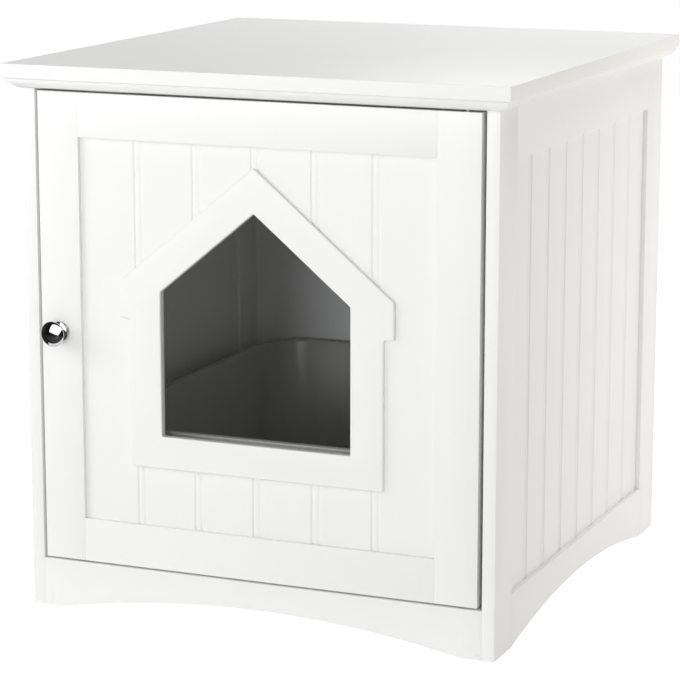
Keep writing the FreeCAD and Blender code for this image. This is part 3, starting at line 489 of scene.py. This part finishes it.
def arc(start, end, radius, bulge, steps):
    """Points after start along an arc to end; bulge is 1 to the right of the way, else -1."""
    start, end = Vector(start), Vector(end)
    chord = end - start
    right = Vector((chord.y, -chord.x)).normalized()
    reach = math.sqrt(radius ** 2 - chord.length_squared / 4)
    middle = (start + end) / 2 - right * bulge * reach
    first, last = start - middle, end - middle
    sweep = first.angle_signed(last)
    points = []
    for n in range(1, steps + 1):
        turn = -sweep * n / steps
        points.append(middle + Vector((
            first.x * math.cos(turn) - first.y * math.sin(turn),
            first.x * math.sin(turn) + first.y * math.cos(turn))))
    return points


def mould(profile):
    """Step the selected face inwards and along its normal through the points of a profile."""
    before = Vector(profile[0])
    for point in profile[1:]:
        move = Vector(point) - before
        bpy.ops.mesh.inset(thickness=move.x, depth=move.y, use_even_offset=True)
        before = Vector(point)


low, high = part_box("top_panel")
body_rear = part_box("left_rear_stile")[1].y
board = sawn_block("top", (low.x, low.y, high.z - fascia_height), high)
waist = (fascia_round, fascia_round)
foot = (top_overhang, high.z - low.z - fascia_height)
underside = [
    (0, 0),
    *arc((0, 0), waist, fascia_round, 1, 5),
    *arc(waist, foot, cove_radius, -1, 8)]
pick_faces(board, lambda middle, normal: normal.z < -facing)
mould(underside)
leave_editing()
pick_points(board, lambda co: co.y > high.y - top_overhang - 10 * hair)
bpy.ops.transform.resize(value=(1, 0, 1), center_override=(0, high.y, 0))
leave_editing()
sand(board, top_arris, 3)
bush_low, bush_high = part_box("upper_pivot_bush")
bush_middle = (bush_low + bush_high) / 2
drill(board, Vector((bush_middle.x, bush_middle.y, low.z)), bush_radius, bush_high.z - low.z,
      down=False)
fit(board, "moulded_top", "cabinet", "top_panel", satin_white)


# ---------------------------------------------------------------------------------------
# Fixings of the carcass. Beech dowels are glued into the top and the apron. Pressed steel
# angles and countersunk screws, both zinc plated, hold the top, the back and the floor.

def brushed_metal_group():
    """Fine drawn lines and a cloudy plating, for steel parts."""
    group, inputs, outputs = new_group("brushed_metal", (
        ("Metal", "NodeSocketColor", (0.6, 0.6, 0.6, 1)),
        ("Cloud", "NodeSocketColor", (0.5, 0.5, 0.5, 1)),
        ("Smooth", "NodeSocketFloat", 0.2),
        ("Rough", "NodeSocketFloat", 0.4)))
    place = add_node(group, "ShaderNodeTexCoord", (-1100, -200))
    stretch = add_node(group, "ShaderNodeMapping", (-900, -400), inputs={"Scale": (1, 1, 18)})
    link(group, place.outputs["Object"], stretch.inputs["Vector"])
    lines = add_node(group, "ShaderNodeTexNoise", (-700, -400),
                     inputs={"Scale": 300.0, "Detail": 4.0, "Roughness": 0.6})
    link(group, stretch.outputs["Vector"], lines.inputs["Vector"])
    clouds = add_node(group, "ShaderNodeTexNoise", (-700, -700),
                      inputs={"Scale": 160.0, "Detail": 3.0, "Roughness": 0.5})
    link(group, place.outputs["Object"], clouds.inputs["Vector"])
    tone = add_node(group, "ShaderNodeMix", (-200, 100), data_type="RGBA")
    link(group, clouds.outputs["Fac"], tone.inputs[0])
    link(group, inputs.outputs["Metal"], tone.inputs[6])
    link(group, inputs.outputs["Cloud"], tone.inputs[7])
    link(group, tone.outputs[2], outputs.inputs["Color"])
    polish = add_node(group, "ShaderNodeMapRange", (-200, -300))
    link(group, lines.outputs["Fac"], polish.inputs["Value"])
    link(group, inputs.outputs["Smooth"], polish.inputs["To Min"])
    link(group, inputs.outputs["Rough"], polish.inputs["To Max"])
    link(group, polish.outputs["Result"], outputs.inputs["Roughness"])
    link(group, lines.outputs["Fac"], outputs.inputs["Height"])
    return group


brushed_metal = brushed_metal_group()


def metal(name, colour, cloud, polish, line_depth):
    """A metal with drawn lines as deep as line_depth."""
    material, tree, shader = new_material(name)
    shader.inputs["Metallic"].default_value = 1.0
    surface = add_node(tree, "ShaderNodeGroup", (-500, 0), node_tree=brushed_metal)
    surface.inputs["Metal"].default_value = (*colour, 1)
    surface.inputs["Cloud"].default_value = (*cloud, 1)
    surface.inputs["Smooth"].default_value, surface.inputs["Rough"].default_value = polish
    link(tree, surface.outputs["Color"], shader.inputs["Base Color"])
    link(tree, surface.outputs["Roughness"], shader.inputs["Roughness"])
    add_relief(tree, shader, surface.outputs["Height"], 0.4, line_depth)
    return material


def beech_wood():
    """Pale turned beech with short flecks along the grain."""
    material, tree, shader = new_material("beech")
    shader.inputs["Roughness"].default_value = 0.6
    place = add_node(tree, "ShaderNodeTexCoord", (-1100, 0))
    grain = add_node(tree, "ShaderNodeMapping", (-900, 0), inputs={"Scale": (1, 1, 0.1)})
    link(tree, place.outputs["Object"], grain.inputs["Vector"])
    flecks = add_node(tree, "ShaderNodeTexNoise", (-700, 0),
                      inputs={"Scale": 700.0, "Detail": 3.0, "Roughness": 0.6})
    link(tree, grain.outputs["Vector"], flecks.inputs["Vector"])
    ramp = add_node(tree, "ShaderNodeValToRGB", (-450, 0))
    ramp.color_ramp.elements[0].color = (0.42, 0.26, 0.13, 1)
    ramp.color_ramp.elements[1].color = (0.62, 0.43, 0.25, 1)
    ramp.color_ramp.elements[0].position = 0.40
    ramp.color_ramp.elements[1].position = 0.62
    link(tree, flecks.outputs["Fac"], ramp.inputs["Fac"])
    link(tree, ramp.outputs["Color"], shader.inputs["Base Color"])
    add_relief(tree, shader, flecks.outputs["Fac"], 0.4, 0.0001)
    return material


zinc_plate = metal("zinc_plated_steel", (0.62, 0.64, 0.67), (0.48, 0.50, 0.54), (0.22, 0.38),
                   0.00002)
beech = beech_wood()
for node in ("top_brackets", "bracket_screws", "cleat_screws", "floor_screws",
             "back_panel_screws"):
    finish_node(node, zinc_plate)
for node in ("top_dowels", "apron_dowels"):
    finish_node(node, beech)


# ---------------------------------------------------------------------------------------
# Pivots and magnetic catch. The door turns on two steel pins in nylon cups, one in the
# apron and one in the top. The catch is a nylon block screwed under the top, and holds a
# dull ferrite magnet between two steel plates.

def moulded_plastic(name, colour, mark, roughness, grain_scale, grain_depth):
    """Moulded plastic with a spark-eroded grain and slightly uneven gloss."""
    material, tree, shader = new_material(name)
    shader.inputs["IOR"].default_value = 1.5
    place = add_node(tree, "ShaderNodeTexCoord", (-1100, 0))
    clouds = add_node(tree, "ShaderNodeTexNoise", (-850, 200),
                      inputs={"Scale": 14.0, "Detail": 4.0, "Roughness": 0.6})
    grain = add_node(tree, "ShaderNodeTexNoise", (-850, -200),
                     inputs={"Scale": grain_scale, "Detail": 3.0, "Roughness": 0.55})
    for texture in (clouds, grain):
        link(tree, place.outputs["Object"], texture.inputs["Vector"])
    tone = add_node(tree, "ShaderNodeMix", (-500, 200), data_type="RGBA")
    tone.inputs[6].default_value = (*colour, 1)
    tone.inputs[7].default_value = (*mark, 1)
    link(tree, clouds.outputs["Fac"], tone.inputs[0])
    link(tree, tone.outputs[2], shader.inputs["Base Color"])
    gloss = add_node(tree, "ShaderNodeMapRange", (-500, -100),
                     inputs={"To Min": roughness[0], "To Max": roughness[1]})
    link(tree, clouds.outputs["Fac"], gloss.inputs["Value"])
    link(tree, gloss.outputs["Result"], shader.inputs["Roughness"])
    add_relief(tree, shader, grain.outputs["Fac"], 0.3, grain_depth)
    return material


nylon = moulded_plastic("white_nylon", (0.80, 0.80, 0.77), (0.76, 0.76, 0.73), (0.38, 0.48),
                        900.0, 0.00003)
ferrite = metal("ferrite", (0.030, 0.030, 0.033), (0.050, 0.050, 0.055), (0.50, 0.70), 0.00003)
catch_arris = 0.0012

low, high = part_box("catch_housing")
catch = sawn_block("catch", low, high)
sand(catch, catch_arris, 3)
plates_low, plates_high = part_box("catch_pole_plates")
mill(catch, (plates_low.x, low.y - saw_room, plates_low.z), plates_high)
fit(catch, "catch_block", "cabinet", "catch_housing", nylon)
finish_node("catch_magnet", ferrite)
for node in ("lower_pivot_bush", "upper_pivot_bush"):
    finish_node(node, nylon)
for node in ("catch_pole_plates", "catch_screws", "lower_pivot_pin", "upper_pivot_pin"):
    finish_node(node, zinc_plate)


# ---------------------------------------------------------------------------------------
# Door frame. Two stiles and two rails of 12 mm board, grooved for the beaded panel. The
# rails reach from stile to stile, and the hinge stile holds the two pins.

panel_low, panel_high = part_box("door_bead_panel")
door_rail_ends = (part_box("door_latch_stile")[1].x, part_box("door_hinge_stile")[0].x)
for name, groove_side in (("latch", 1), ("hinge", -1)):
    low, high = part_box(f"door_{name}_stile")
    stile = sawn_block("stile", low, high)
    sand(stile)
    groove = ((panel_low.x - groove_room, high.x + saw_room) if groove_side > 0
              else (low.x - saw_room, panel_high.x + groove_room))
    mill(stile, (groove[0], panel_low.y, low.z - saw_room),
         (groove[1], panel_high.y, high.z + saw_room))
    fit(stile, f"{name}_upright", "door", f"door_{name}_stile", satin_white)
for name in ("top", "bottom"):
    low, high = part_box(f"door_{name}_rail")
    rail = sawn_block("rail", (door_rail_ends[0], low.y, low.z),
                      (door_rail_ends[1], high.y, high.z))
    sand(rail)
    groove = ((low.z - saw_room, panel_high.z + groove_room) if name == "top"
              else (panel_low.z - groove_room, high.z + saw_room))
    mill(rail, (low.x - saw_room, panel_low.y, groove[0]),
         (high.x + saw_room, panel_high.y, groove[1]))
    fit(rail, f"door_{name}_cross_rail", "door", f"door_{name}_rail", satin_white)


# ---------------------------------------------------------------------------------------
# Door panel. The same beaded board as at the sides, six boards wide, with a house-shaped
# hole that the bezel of the doorway is glued into.

door_boards = 6
opening_width = 0.186
opening_lift = 0.126
gable_height = 0.077
trim_border = 0.0315
trim_lining = 0.006
door_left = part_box("door_latch_stile")[0]
door_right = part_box("door_hinge_stile")[1]
door_middle = (door_left.x + door_right.x) / 2
sill = door_left.z + opening_lift
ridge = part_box("door_house_trim")[1].z
pitch_slope = gable_height / (opening_width / 2)
apex = ridge - trim_border * math.sqrt(1 + pitch_slope ** 2)


def pitch_roof(block, peak):
    """Saw both slopes of a roof that meet at a peak."""
    work_on(block)
    bpy.ops.object.mode_set(mode="EDIT")
    for side in (-1, 1):
        bpy.ops.mesh.select_all(action="SELECT")
        bpy.ops.mesh.bisect(plane_co=(door_middle, 0, peak), plane_no=(side * pitch_slope, 0, 1),
                            use_fill=True, clear_outer=True)
    leave_editing()


def house_block(border, front, back):
    """A block with a pitched roof: the doorway's shape, larger by a border all round."""
    half = opening_width / 2 + border
    top = apex + border * math.sqrt(1 + pitch_slope ** 2)
    block = sawn_block("house", (door_middle - half, front, sill - border),
                       (door_middle + half, back, top))
    pitch_roof(block, top)
    return block


low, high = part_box("door_bead_panel")
pitch = (door_rail_ends[1] - door_rail_ends[0]) / door_boards
boards = beaded_board("boards", low, high, 0, 1, -1, door_rail_ends[0], pitch, door_boards)
cut_away(boards, house_block(trim_lining, low.y - saw_room, high.y + saw_room))
fit(boards, "door_beaded_boards", "door", "door_bead_panel", satin_white)


# ---------------------------------------------------------------------------------------
# Bezel of the doorway. A sawn house shape that stands up from the beads to just under the
# face of the stiles, with overhanging eaves, and a lining that covers the panel's cut edge.

eave_overhang = 0.010
eave_height = 0.0335
eave_round = 0.003
trim_round = 0.0015

low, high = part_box("door_house_trim")
panel_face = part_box("door_bead_panel")[0].y
bezel = sawn_block("bezel", low, (high.x, panel_face, high.z))
pitch_roof(bezel, ridge)
gutter = ridge - pitch_slope * (high.x - door_middle)
for side in (-1, 1):
    wall = door_middle + side * (opening_width / 2 + trim_border)
    beyond = wall + side * (eave_overhang + saw_room)
    notch = sawn_block("notch", (min(wall, beyond), low.y - saw_room, low.z - saw_room),
                       (max(wall, beyond), panel_face + saw_room, gutter - eave_height))
    pick_points(notch, lambda co: abs(co.x - wall) < hair and co.z > gutter - eave_height - hair)
    bpy.ops.mesh.bevel(offset=eave_round, segments=6, affect="EDGES")
    leave_editing()
    cut_away(bezel, notch)
lining = house_block(trim_lining, panel_face - saw_room, high.y)
join = bezel.modifiers.new("lining", "BOOLEAN")
join.operation = "UNION"
join.solver = "EXACT"
join.object = lining
finish_modifier(bezel, join)
bpy.data.objects.remove(lining)
cut_away(bezel, house_block(0.0, low.y - saw_room, high.y + saw_room))

# Only the sharp edges of the front face are rounded.
work_on(bezel)
bpy.ops.object.mode_set(mode="EDIT")
bpy.ops.mesh.select_mode(type="EDGE")
bpy.ops.mesh.select_all(action="DESELECT")
bpy.ops.mesh.edges_select_sharp(sharpness=sharp_edge)
leave_editing()
for edge in bezel.data.edges:
    ends = [bezel.data.vertices[index].co for index in edge.vertices]
    edge.select = edge.select and all(abs(end.y - low.y) < hair for end in ends)
for point in bezel.data.vertices:
    point.select = False
for edge in bezel.data.edges:
    for index in edge.vertices if edge.select else ():
        bezel.data.vertices[index].select = True
bpy.ops.object.mode_set(mode="EDIT")
bpy.ops.mesh.bevel(offset=trim_round, segments=4, affect="EDGES")
leave_editing()
fit(bezel, "doorway_bezel", "door", "door_house_trim", satin_white)


# ---------------------------------------------------------------------------------------
# Knob. Turned brass with polished chrome on it: a domed head with a sharp rim, a short neck
# and a round foot that lies on the stile. One machine screw holds it from behind.

knob_head_radius = 0.0117
knob_rim_drop = 0.0065
knob_rim_thickness = 0.0010
knob_neck_radius = 0.0055
knob_neck_start = 0.0045
knob_neck_end = 0.0110
knob_flange_radius = 0.0095
knob_flange_thickness = 0.0020
knob_turns = 96

low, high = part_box("door_knob")
knob_middle = (low + high) / 2
knob_length = high.y - low.y
rim = knob_length - knob_rim_drop
shoulder = (knob_flange_radius - knob_flange_thickness / 4, knob_flange_thickness)
neck_foot = (knob_neck_radius, knob_neck_start)
neck_top = (knob_neck_radius, knob_neck_end)
rim_under = (knob_head_radius, rim - knob_rim_thickness)
rim_over = (knob_head_radius, rim)
dome_radius = (knob_head_radius ** 2 + knob_rim_drop ** 2) / (2 * knob_rim_drop)
turning = [
    (knob_flange_radius, 0),
    *arc((knob_flange_radius, 0), shoulder, knob_flange_thickness, 1, 4),
    *arc(shoulder, neck_foot, knob_flange_radius / 2, -1, 6),
    neck_top,
    *arc(neck_top, rim_under, knob_head_radius, 1, 6),
    rim_over,
    *arc(rim_over, (0, knob_length), dome_radius, 1, 16)]

bpy.ops.object.select_all(action="DESELECT")
bpy.ops.mesh.primitive_plane_add(size=0.001, location=(knob_middle.x, high.y, knob_middle.z))
knob = bpy.context.object
bpy.ops.object.transform_apply(location=True, rotation=True, scale=True)
bpy.ops.object.mode_set(mode="EDIT")
bpy.ops.mesh.select_mode(type="VERT")
bpy.ops.mesh.merge(type="CENTER")
across, along = 0.0, 0.0
for radius, height in turning:
    bpy.ops.mesh.extrude_region_move(
        TRANSFORM_OT_translate={"value": (radius - across, -(height - along), 0)})
    across, along = radius, height
bpy.ops.mesh.select_all(action="SELECT")
bpy.ops.mesh.spin(steps=knob_turns, angle=math.tau, center=(knob_middle.x, 0, knob_middle.z),
                  axis=(0, 1, 0))
bpy.ops.mesh.select_all(action="SELECT")
bpy.ops.mesh.remove_doubles(threshold=1e-6)
bpy.ops.mesh.normals_make_consistent(inside=False)
leave_editing()

chrome = metal("polished_chrome", (0.64, 0.64, 0.65), (0.61, 0.61, 0.62), (0.025, 0.045),
               0.0000005)
fit(knob, "chromed_knob", "door", "door_knob", chrome)
finish_node("knob_screw", zinc_plate)


# ---------------------------------------------------------------------------------------
# Strike. A small steel plate on the back of the door, which the catch's magnet pulls, and
# its two countersunk screws.

for node in ("strike_plate", "strike_screws"):
    finish_node(node, zinc_plate)


# ---------------------------------------------------------------------------------------
# Litter tray. One deep tray of grey plastic, moulded with sloping walls, large round
# corners, a rounded foot and a lip turned outwards. It stands loose on the floor board.

tray_wall = 0.003
tray_lip = 0.005
tray_lip_height = 0.005
tray_lip_round = 0.0012
tray_taper = 0.008
tray_corner = 0.055
tray_foot_round = 0.016
tray_corner_rounds = 24

low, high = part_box("litter_tray")
height = high.z - low.z
slope = tray_taper / height
foot = tray_lip + tray_taper
foot_top = (foot - slope * tray_foot_round, height - tray_lip_height - tray_foot_round)
foot_edge = (foot + tray_foot_round, height - tray_lip_height)
underside = [
    (0, 0),
    (tray_lip + slope * tray_lip_height, 0),
    foot_top,
    *arc(foot_top, foot_edge, tray_foot_round, 1, 8)]

lip_over = (tray_lip_round, tray_lip_round)
brim = (tray_lip + tray_wall - tray_lip_round, tray_lip_round)
brim_edge = (tray_lip + tray_wall, 0)
inner_round = tray_foot_round - tray_wall
inner_foot = tray_wall + inner_round - height + tray_lip_round
heel = (foot + tray_wall - slope * inner_round, inner_foot)
sole = (foot + tray_wall + inner_round, inner_foot - inner_round)
inside = [
    (0, 0),
    *arc((0, 0), lip_over, tray_lip_round, -1, 4),
    brim,
    *arc(brim, brim_edge, tray_lip_round, -1, 4),
    heel,
    *arc(heel, sole, inner_round, 1, 8)]

bpy.ops.object.select_all(action="DESELECT")
middle = (high + low) / 2
bpy.ops.mesh.primitive_plane_add(size=1.0, location=(middle.x, middle.y, high.z - tray_lip_height))
tray = bpy.context.object
tray.scale = (high.x - low.x, high.y - low.y, 1)
bpy.ops.object.transform_apply(location=True, rotation=True, scale=True)
bpy.ops.object.mode_set(mode="EDIT")
bpy.ops.mesh.select_mode(type="VERT")
bpy.ops.mesh.bevel(offset=tray_corner, segments=tray_corner_rounds, affect="VERTICES",
                   offset_type="OFFSET")
bpy.ops.mesh.select_mode(type="FACE")
bpy.ops.mesh.select_all(action="SELECT")
bpy.ops.mesh.extrude_region_move(
    TRANSFORM_OT_translate={"value": (0, 0, tray_lip_height - tray_lip_round)})
leave_editing()
for upward, profile in ((1, inside), (-1, underside)):
    pick_faces(tray, lambda middle, normal: normal.z * upward > facing)
    mould(profile)
    leave_editing()
tray_plastic = moulded_plastic("grey_plastic", (0.46, 0.46, 0.44), (0.43, 0.43, 0.41),
                               (0.14, 0.22), 700.0, 0.00004)
fit(tray, "deep_litter_tray", "tray", "litter_tray", tray_plastic)


# ---------------------------------------------------------------------------------------
# The studio: a plain pale floor, soft lamps, dark sheets and a glowing card that only glossy
# surfaces show, which paint dark reflections and a highlight into the knob, and a long lens that
# looks down a little from the front right.

floor_size = 24.0
floor_shadow = 0.22
floor_white = 1.18
floor_bounce = 0.19
floor_drop = 0.0002
sky_glow = 0.16
dark_reflection_black = (0.02, 0.02, 0.02, 1)
# Glow, size and turn of the card that paints the knob's highlight.
highlight_card_glow = 1.7
highlight_card_width, highlight_card_height = 1.65, 1.30
highlight_card_roll = math.radians(26)


def seen_rays(tree):
    """A light path, and an output that is 1 for what the camera or a gloss sees, else 0."""
    rays = add_node(tree, "ShaderNodeLightPath", (-600, 300))
    seen = add_node(tree, "ShaderNodeMath", (-400, 300), operation="MAXIMUM")
    link(tree, rays.outputs["Is Camera Ray"], seen.inputs[0])
    link(tree, rays.outputs["Is Glossy Ray"], seen.inputs[1])
    return rays, seen.outputs["Value"]


def mix_shaders(tree, share, first, second, output):
    """Send a mix of two shaders to the sheet's output."""
    mix = add_node(tree, "ShaderNodeMixShader", (200, 100))
    link(tree, share, mix.inputs["Fac"])
    link(tree, first, mix.inputs[1])
    link(tree, second, mix.inputs[2])
    link(tree, mix.outputs["Shader"], tree.nodes[output].inputs["Surface"])


bpy.ops.object.select_all(action="DESELECT")
bpy.ops.mesh.primitive_plane_add(size=floor_size, location=(0, 0, -floor_drop))
studio_floor = bpy.context.object
studio_floor.name = "studio_floor"
floor_paper, tree, paper = new_material("floor_paper")
paper.inputs["Base Color"].default_value = (0.80, 0.80, 0.80, 1)
paper.inputs["Roughness"].default_value = 0.9
paper.inputs["Emission Color"].default_value = (1.0, 1.0, 1.0, 1)
paper.inputs["Emission Strength"].default_value = floor_bounce
glow = add_node(tree, "ShaderNodeEmission", (0, -300), inputs={"Strength": floor_white})
_, seen = seen_rays(tree)
share = add_node(tree, "ShaderNodeMath", (0, 300), operation="MULTIPLY")
share.inputs[1].default_value = 1 - floor_shadow
link(tree, seen, share.inputs[0])
mix_shaders(tree, share.outputs["Value"], paper.outputs["BSDF"], glow.outputs["Emission"],
            "Material Output")
studio_floor.data.materials.append(floor_paper)

world = bpy.data.worlds.new("studio")
world.use_nodes = True
bpy.context.scene.world = world
tree = world.node_tree
soft = tree.nodes["Background"]
soft.inputs["Color"].default_value = (1.0, 1.0, 1.0, 1)
soft.inputs["Strength"].default_value = sky_glow
white = add_node(tree, "ShaderNodeBackground", (0, -200), inputs={"Strength": 1.0})
rays, seen = seen_rays(tree)
through = add_node(tree, "ShaderNodeMath", (-200, 300), operation="MAXIMUM")
link(tree, seen, through.inputs[0])
link(tree, rays.outputs["Is Transmission Ray"], through.inputs[1])
mix_shaders(tree, through.outputs["Value"], soft.outputs["Background"],
            white.outputs["Background"], "World Output")


def hang_in_gloss(hanging, material):
    """Let a part of the studio show in glossy surfaces and nowhere else, as a painted reflection.
    """
    hanging.visible_camera = False
    hanging.visible_diffuse = False
    hanging.visible_transmission = False
    hanging.visible_shadow = False
    hanging.data.materials.append(material)


# Dark sheets that only glossy surfaces see. They are painted dark reflections that make the
# polished knob show black where the white floor and world would be. The two on the floor are dark
# only in reflections, while the camera sees the floor white.
painted_dark_reflection, _, cloth = new_material("painted_dark_reflection")
cloth.inputs["Base Color"].default_value = dark_reflection_black
for name, low, high in (
        ("dark_reflection_in_front", (-3.0, -6.02, 0.0), (5.0, -6.0, 4.0)),
        ("dark_reflection_at_left", (-3.02, -6.0, 0.0), (-3.0, 3.0, 4.0)),
        ("dark_reflection_at_right", (5.0, -6.0, 0.0), (5.02, 0.0, 4.0)),
        ("dark_reflection_overhead", (-3.0, -6.0, 4.0), (5.0, 1.0, 4.02)),
        ("dark_reflection_on_front_floor", (-3.0, -6.0, -0.0001), (5.0, -0.31, 0.0)),
        ("dark_reflection_on_left_floor", (-3.0, -0.38, -0.0001), (-0.40, 3.0, 0.0))):
    hang_in_gloss(sawn_block(name, low, high), painted_dark_reflection)


def round_a_point(middle, turn, lift, distance):
    """A place seen from a point: degrees to the right of the front, degrees up, metres."""
    turn, lift = math.radians(turn), math.radians(lift)
    return middle + distance * Vector((
        math.sin(turn) * math.cos(lift), -math.cos(turn) * math.cos(lift), math.sin(lift)))


# A glowing card near the knob that only glossy surfaces see. It is a painted highlight: the
# softbox's reflection, put where the knob should show it, while the front softbox itself is hidden
# from gloss.
painted_highlight_material, tree, _ = new_material("painted_highlight_material")
glow = add_node(tree, "ShaderNodeEmission", (0, -300), inputs={"Strength": highlight_card_glow})
link(tree, glow.outputs["Emission"], tree.nodes["Material Output"].inputs["Surface"])
highlight_card_place = round_a_point(knob_middle, 24, 37, 0.9)
bpy.ops.object.select_all(action="DESELECT")
bpy.ops.mesh.primitive_plane_add(size=1.0, location=highlight_card_place)
painted_highlight_card = bpy.context.object
painted_highlight_card.name = "painted_highlight_card"
painted_highlight_card.scale = (highlight_card_width, highlight_card_height, 1)
towards_knob = (knob_middle - highlight_card_place).to_track_quat("Z", "Y").to_matrix().to_4x4()
painted_highlight_card.rotation_euler = (towards_knob @ Matrix.Rotation(highlight_card_roll, 4, "Z")).to_euler()
hang_in_gloss(painted_highlight_card, painted_highlight_material)


def softbox(name, place, target, size, power, colour=(1, 1, 1), in_gloss=False):
    """An oblong area lamp that faces a target."""
    lamp = bpy.data.lights.new(name, "AREA")
    lamp.shape = "RECTANGLE"
    lamp.size, lamp.size_y = size
    lamp.energy = power
    lamp.color = colour
    holder = bpy.data.objects.new(name, lamp)
    holder.location = place
    holder.rotation_euler = (Vector(target) - Vector(place)).to_track_quat("-Z", "Y").to_euler()
    holder.visible_camera = False
    holder.visible_glossy = in_gloss
    bpy.context.scene.collection.objects.link(holder)


cabinet_middle = Vector((0, 0, 0.27))


def round_the_cabinet(turn, lift, distance):
    """A place seen from the middle of the cabinet."""
    return round_a_point(cabinet_middle, turn, lift, distance)


softbox("front_softbox", round_the_cabinet(5, 19, 3.0), cabinet_middle, (5.0, 3.2), 45.0,
        (1.0, 0.985, 0.965))
softbox("left_softbox", round_the_cabinet(-50, 20, 1.7), cabinet_middle, (0.9, 0.9), 8.8)
softbox("door_softbox", round_the_cabinet(4, 5, 2.8), cabinet_middle, (0.4, 0.4), 12.0,
        (0.95, 1.0, 1.0))
softbox("rear_window", round_the_cabinet(112, 14, 2.6), cabinet_middle, (1.4, 1.4), 10.0,
        (1.0, 0.94, 0.88), in_gloss=True)
softbox("side_window", Vector((0.75, 0.35, 0.38)), Vector((0.23, 0.2, 0.25)), (0.35, 0.5), 1.0,
        (1.0, 0.95, 0.90), in_gloss=True)
softbox("rear_softbox", round_the_cabinet(175, 50, 2.2), cabinet_middle, (1.6, 1.2), 28.0,
        in_gloss=True)

camera_place = Vector((0.99289, -2.39588, 0.76710))
camera_forward = Vector((-0.3807, 0.9020, -0.2036))
camera = bpy.data.cameras.new("camera")
camera.lens = 144.0
camera.sensor_width = 36.0
camera.shift_x = 0.0021
camera.shift_y = -0.0025
camera_holder = bpy.data.objects.new("camera", camera)
camera_holder.location = camera_place
camera_holder.rotation_euler = camera_forward.to_track_quat("-Z", "Y").to_euler()
bpy.context.scene.collection.objects.link(camera_holder)
bpy.context.scene.camera = camera_holder
bpy.context.scene.view_settings.view_transform = "Standard"
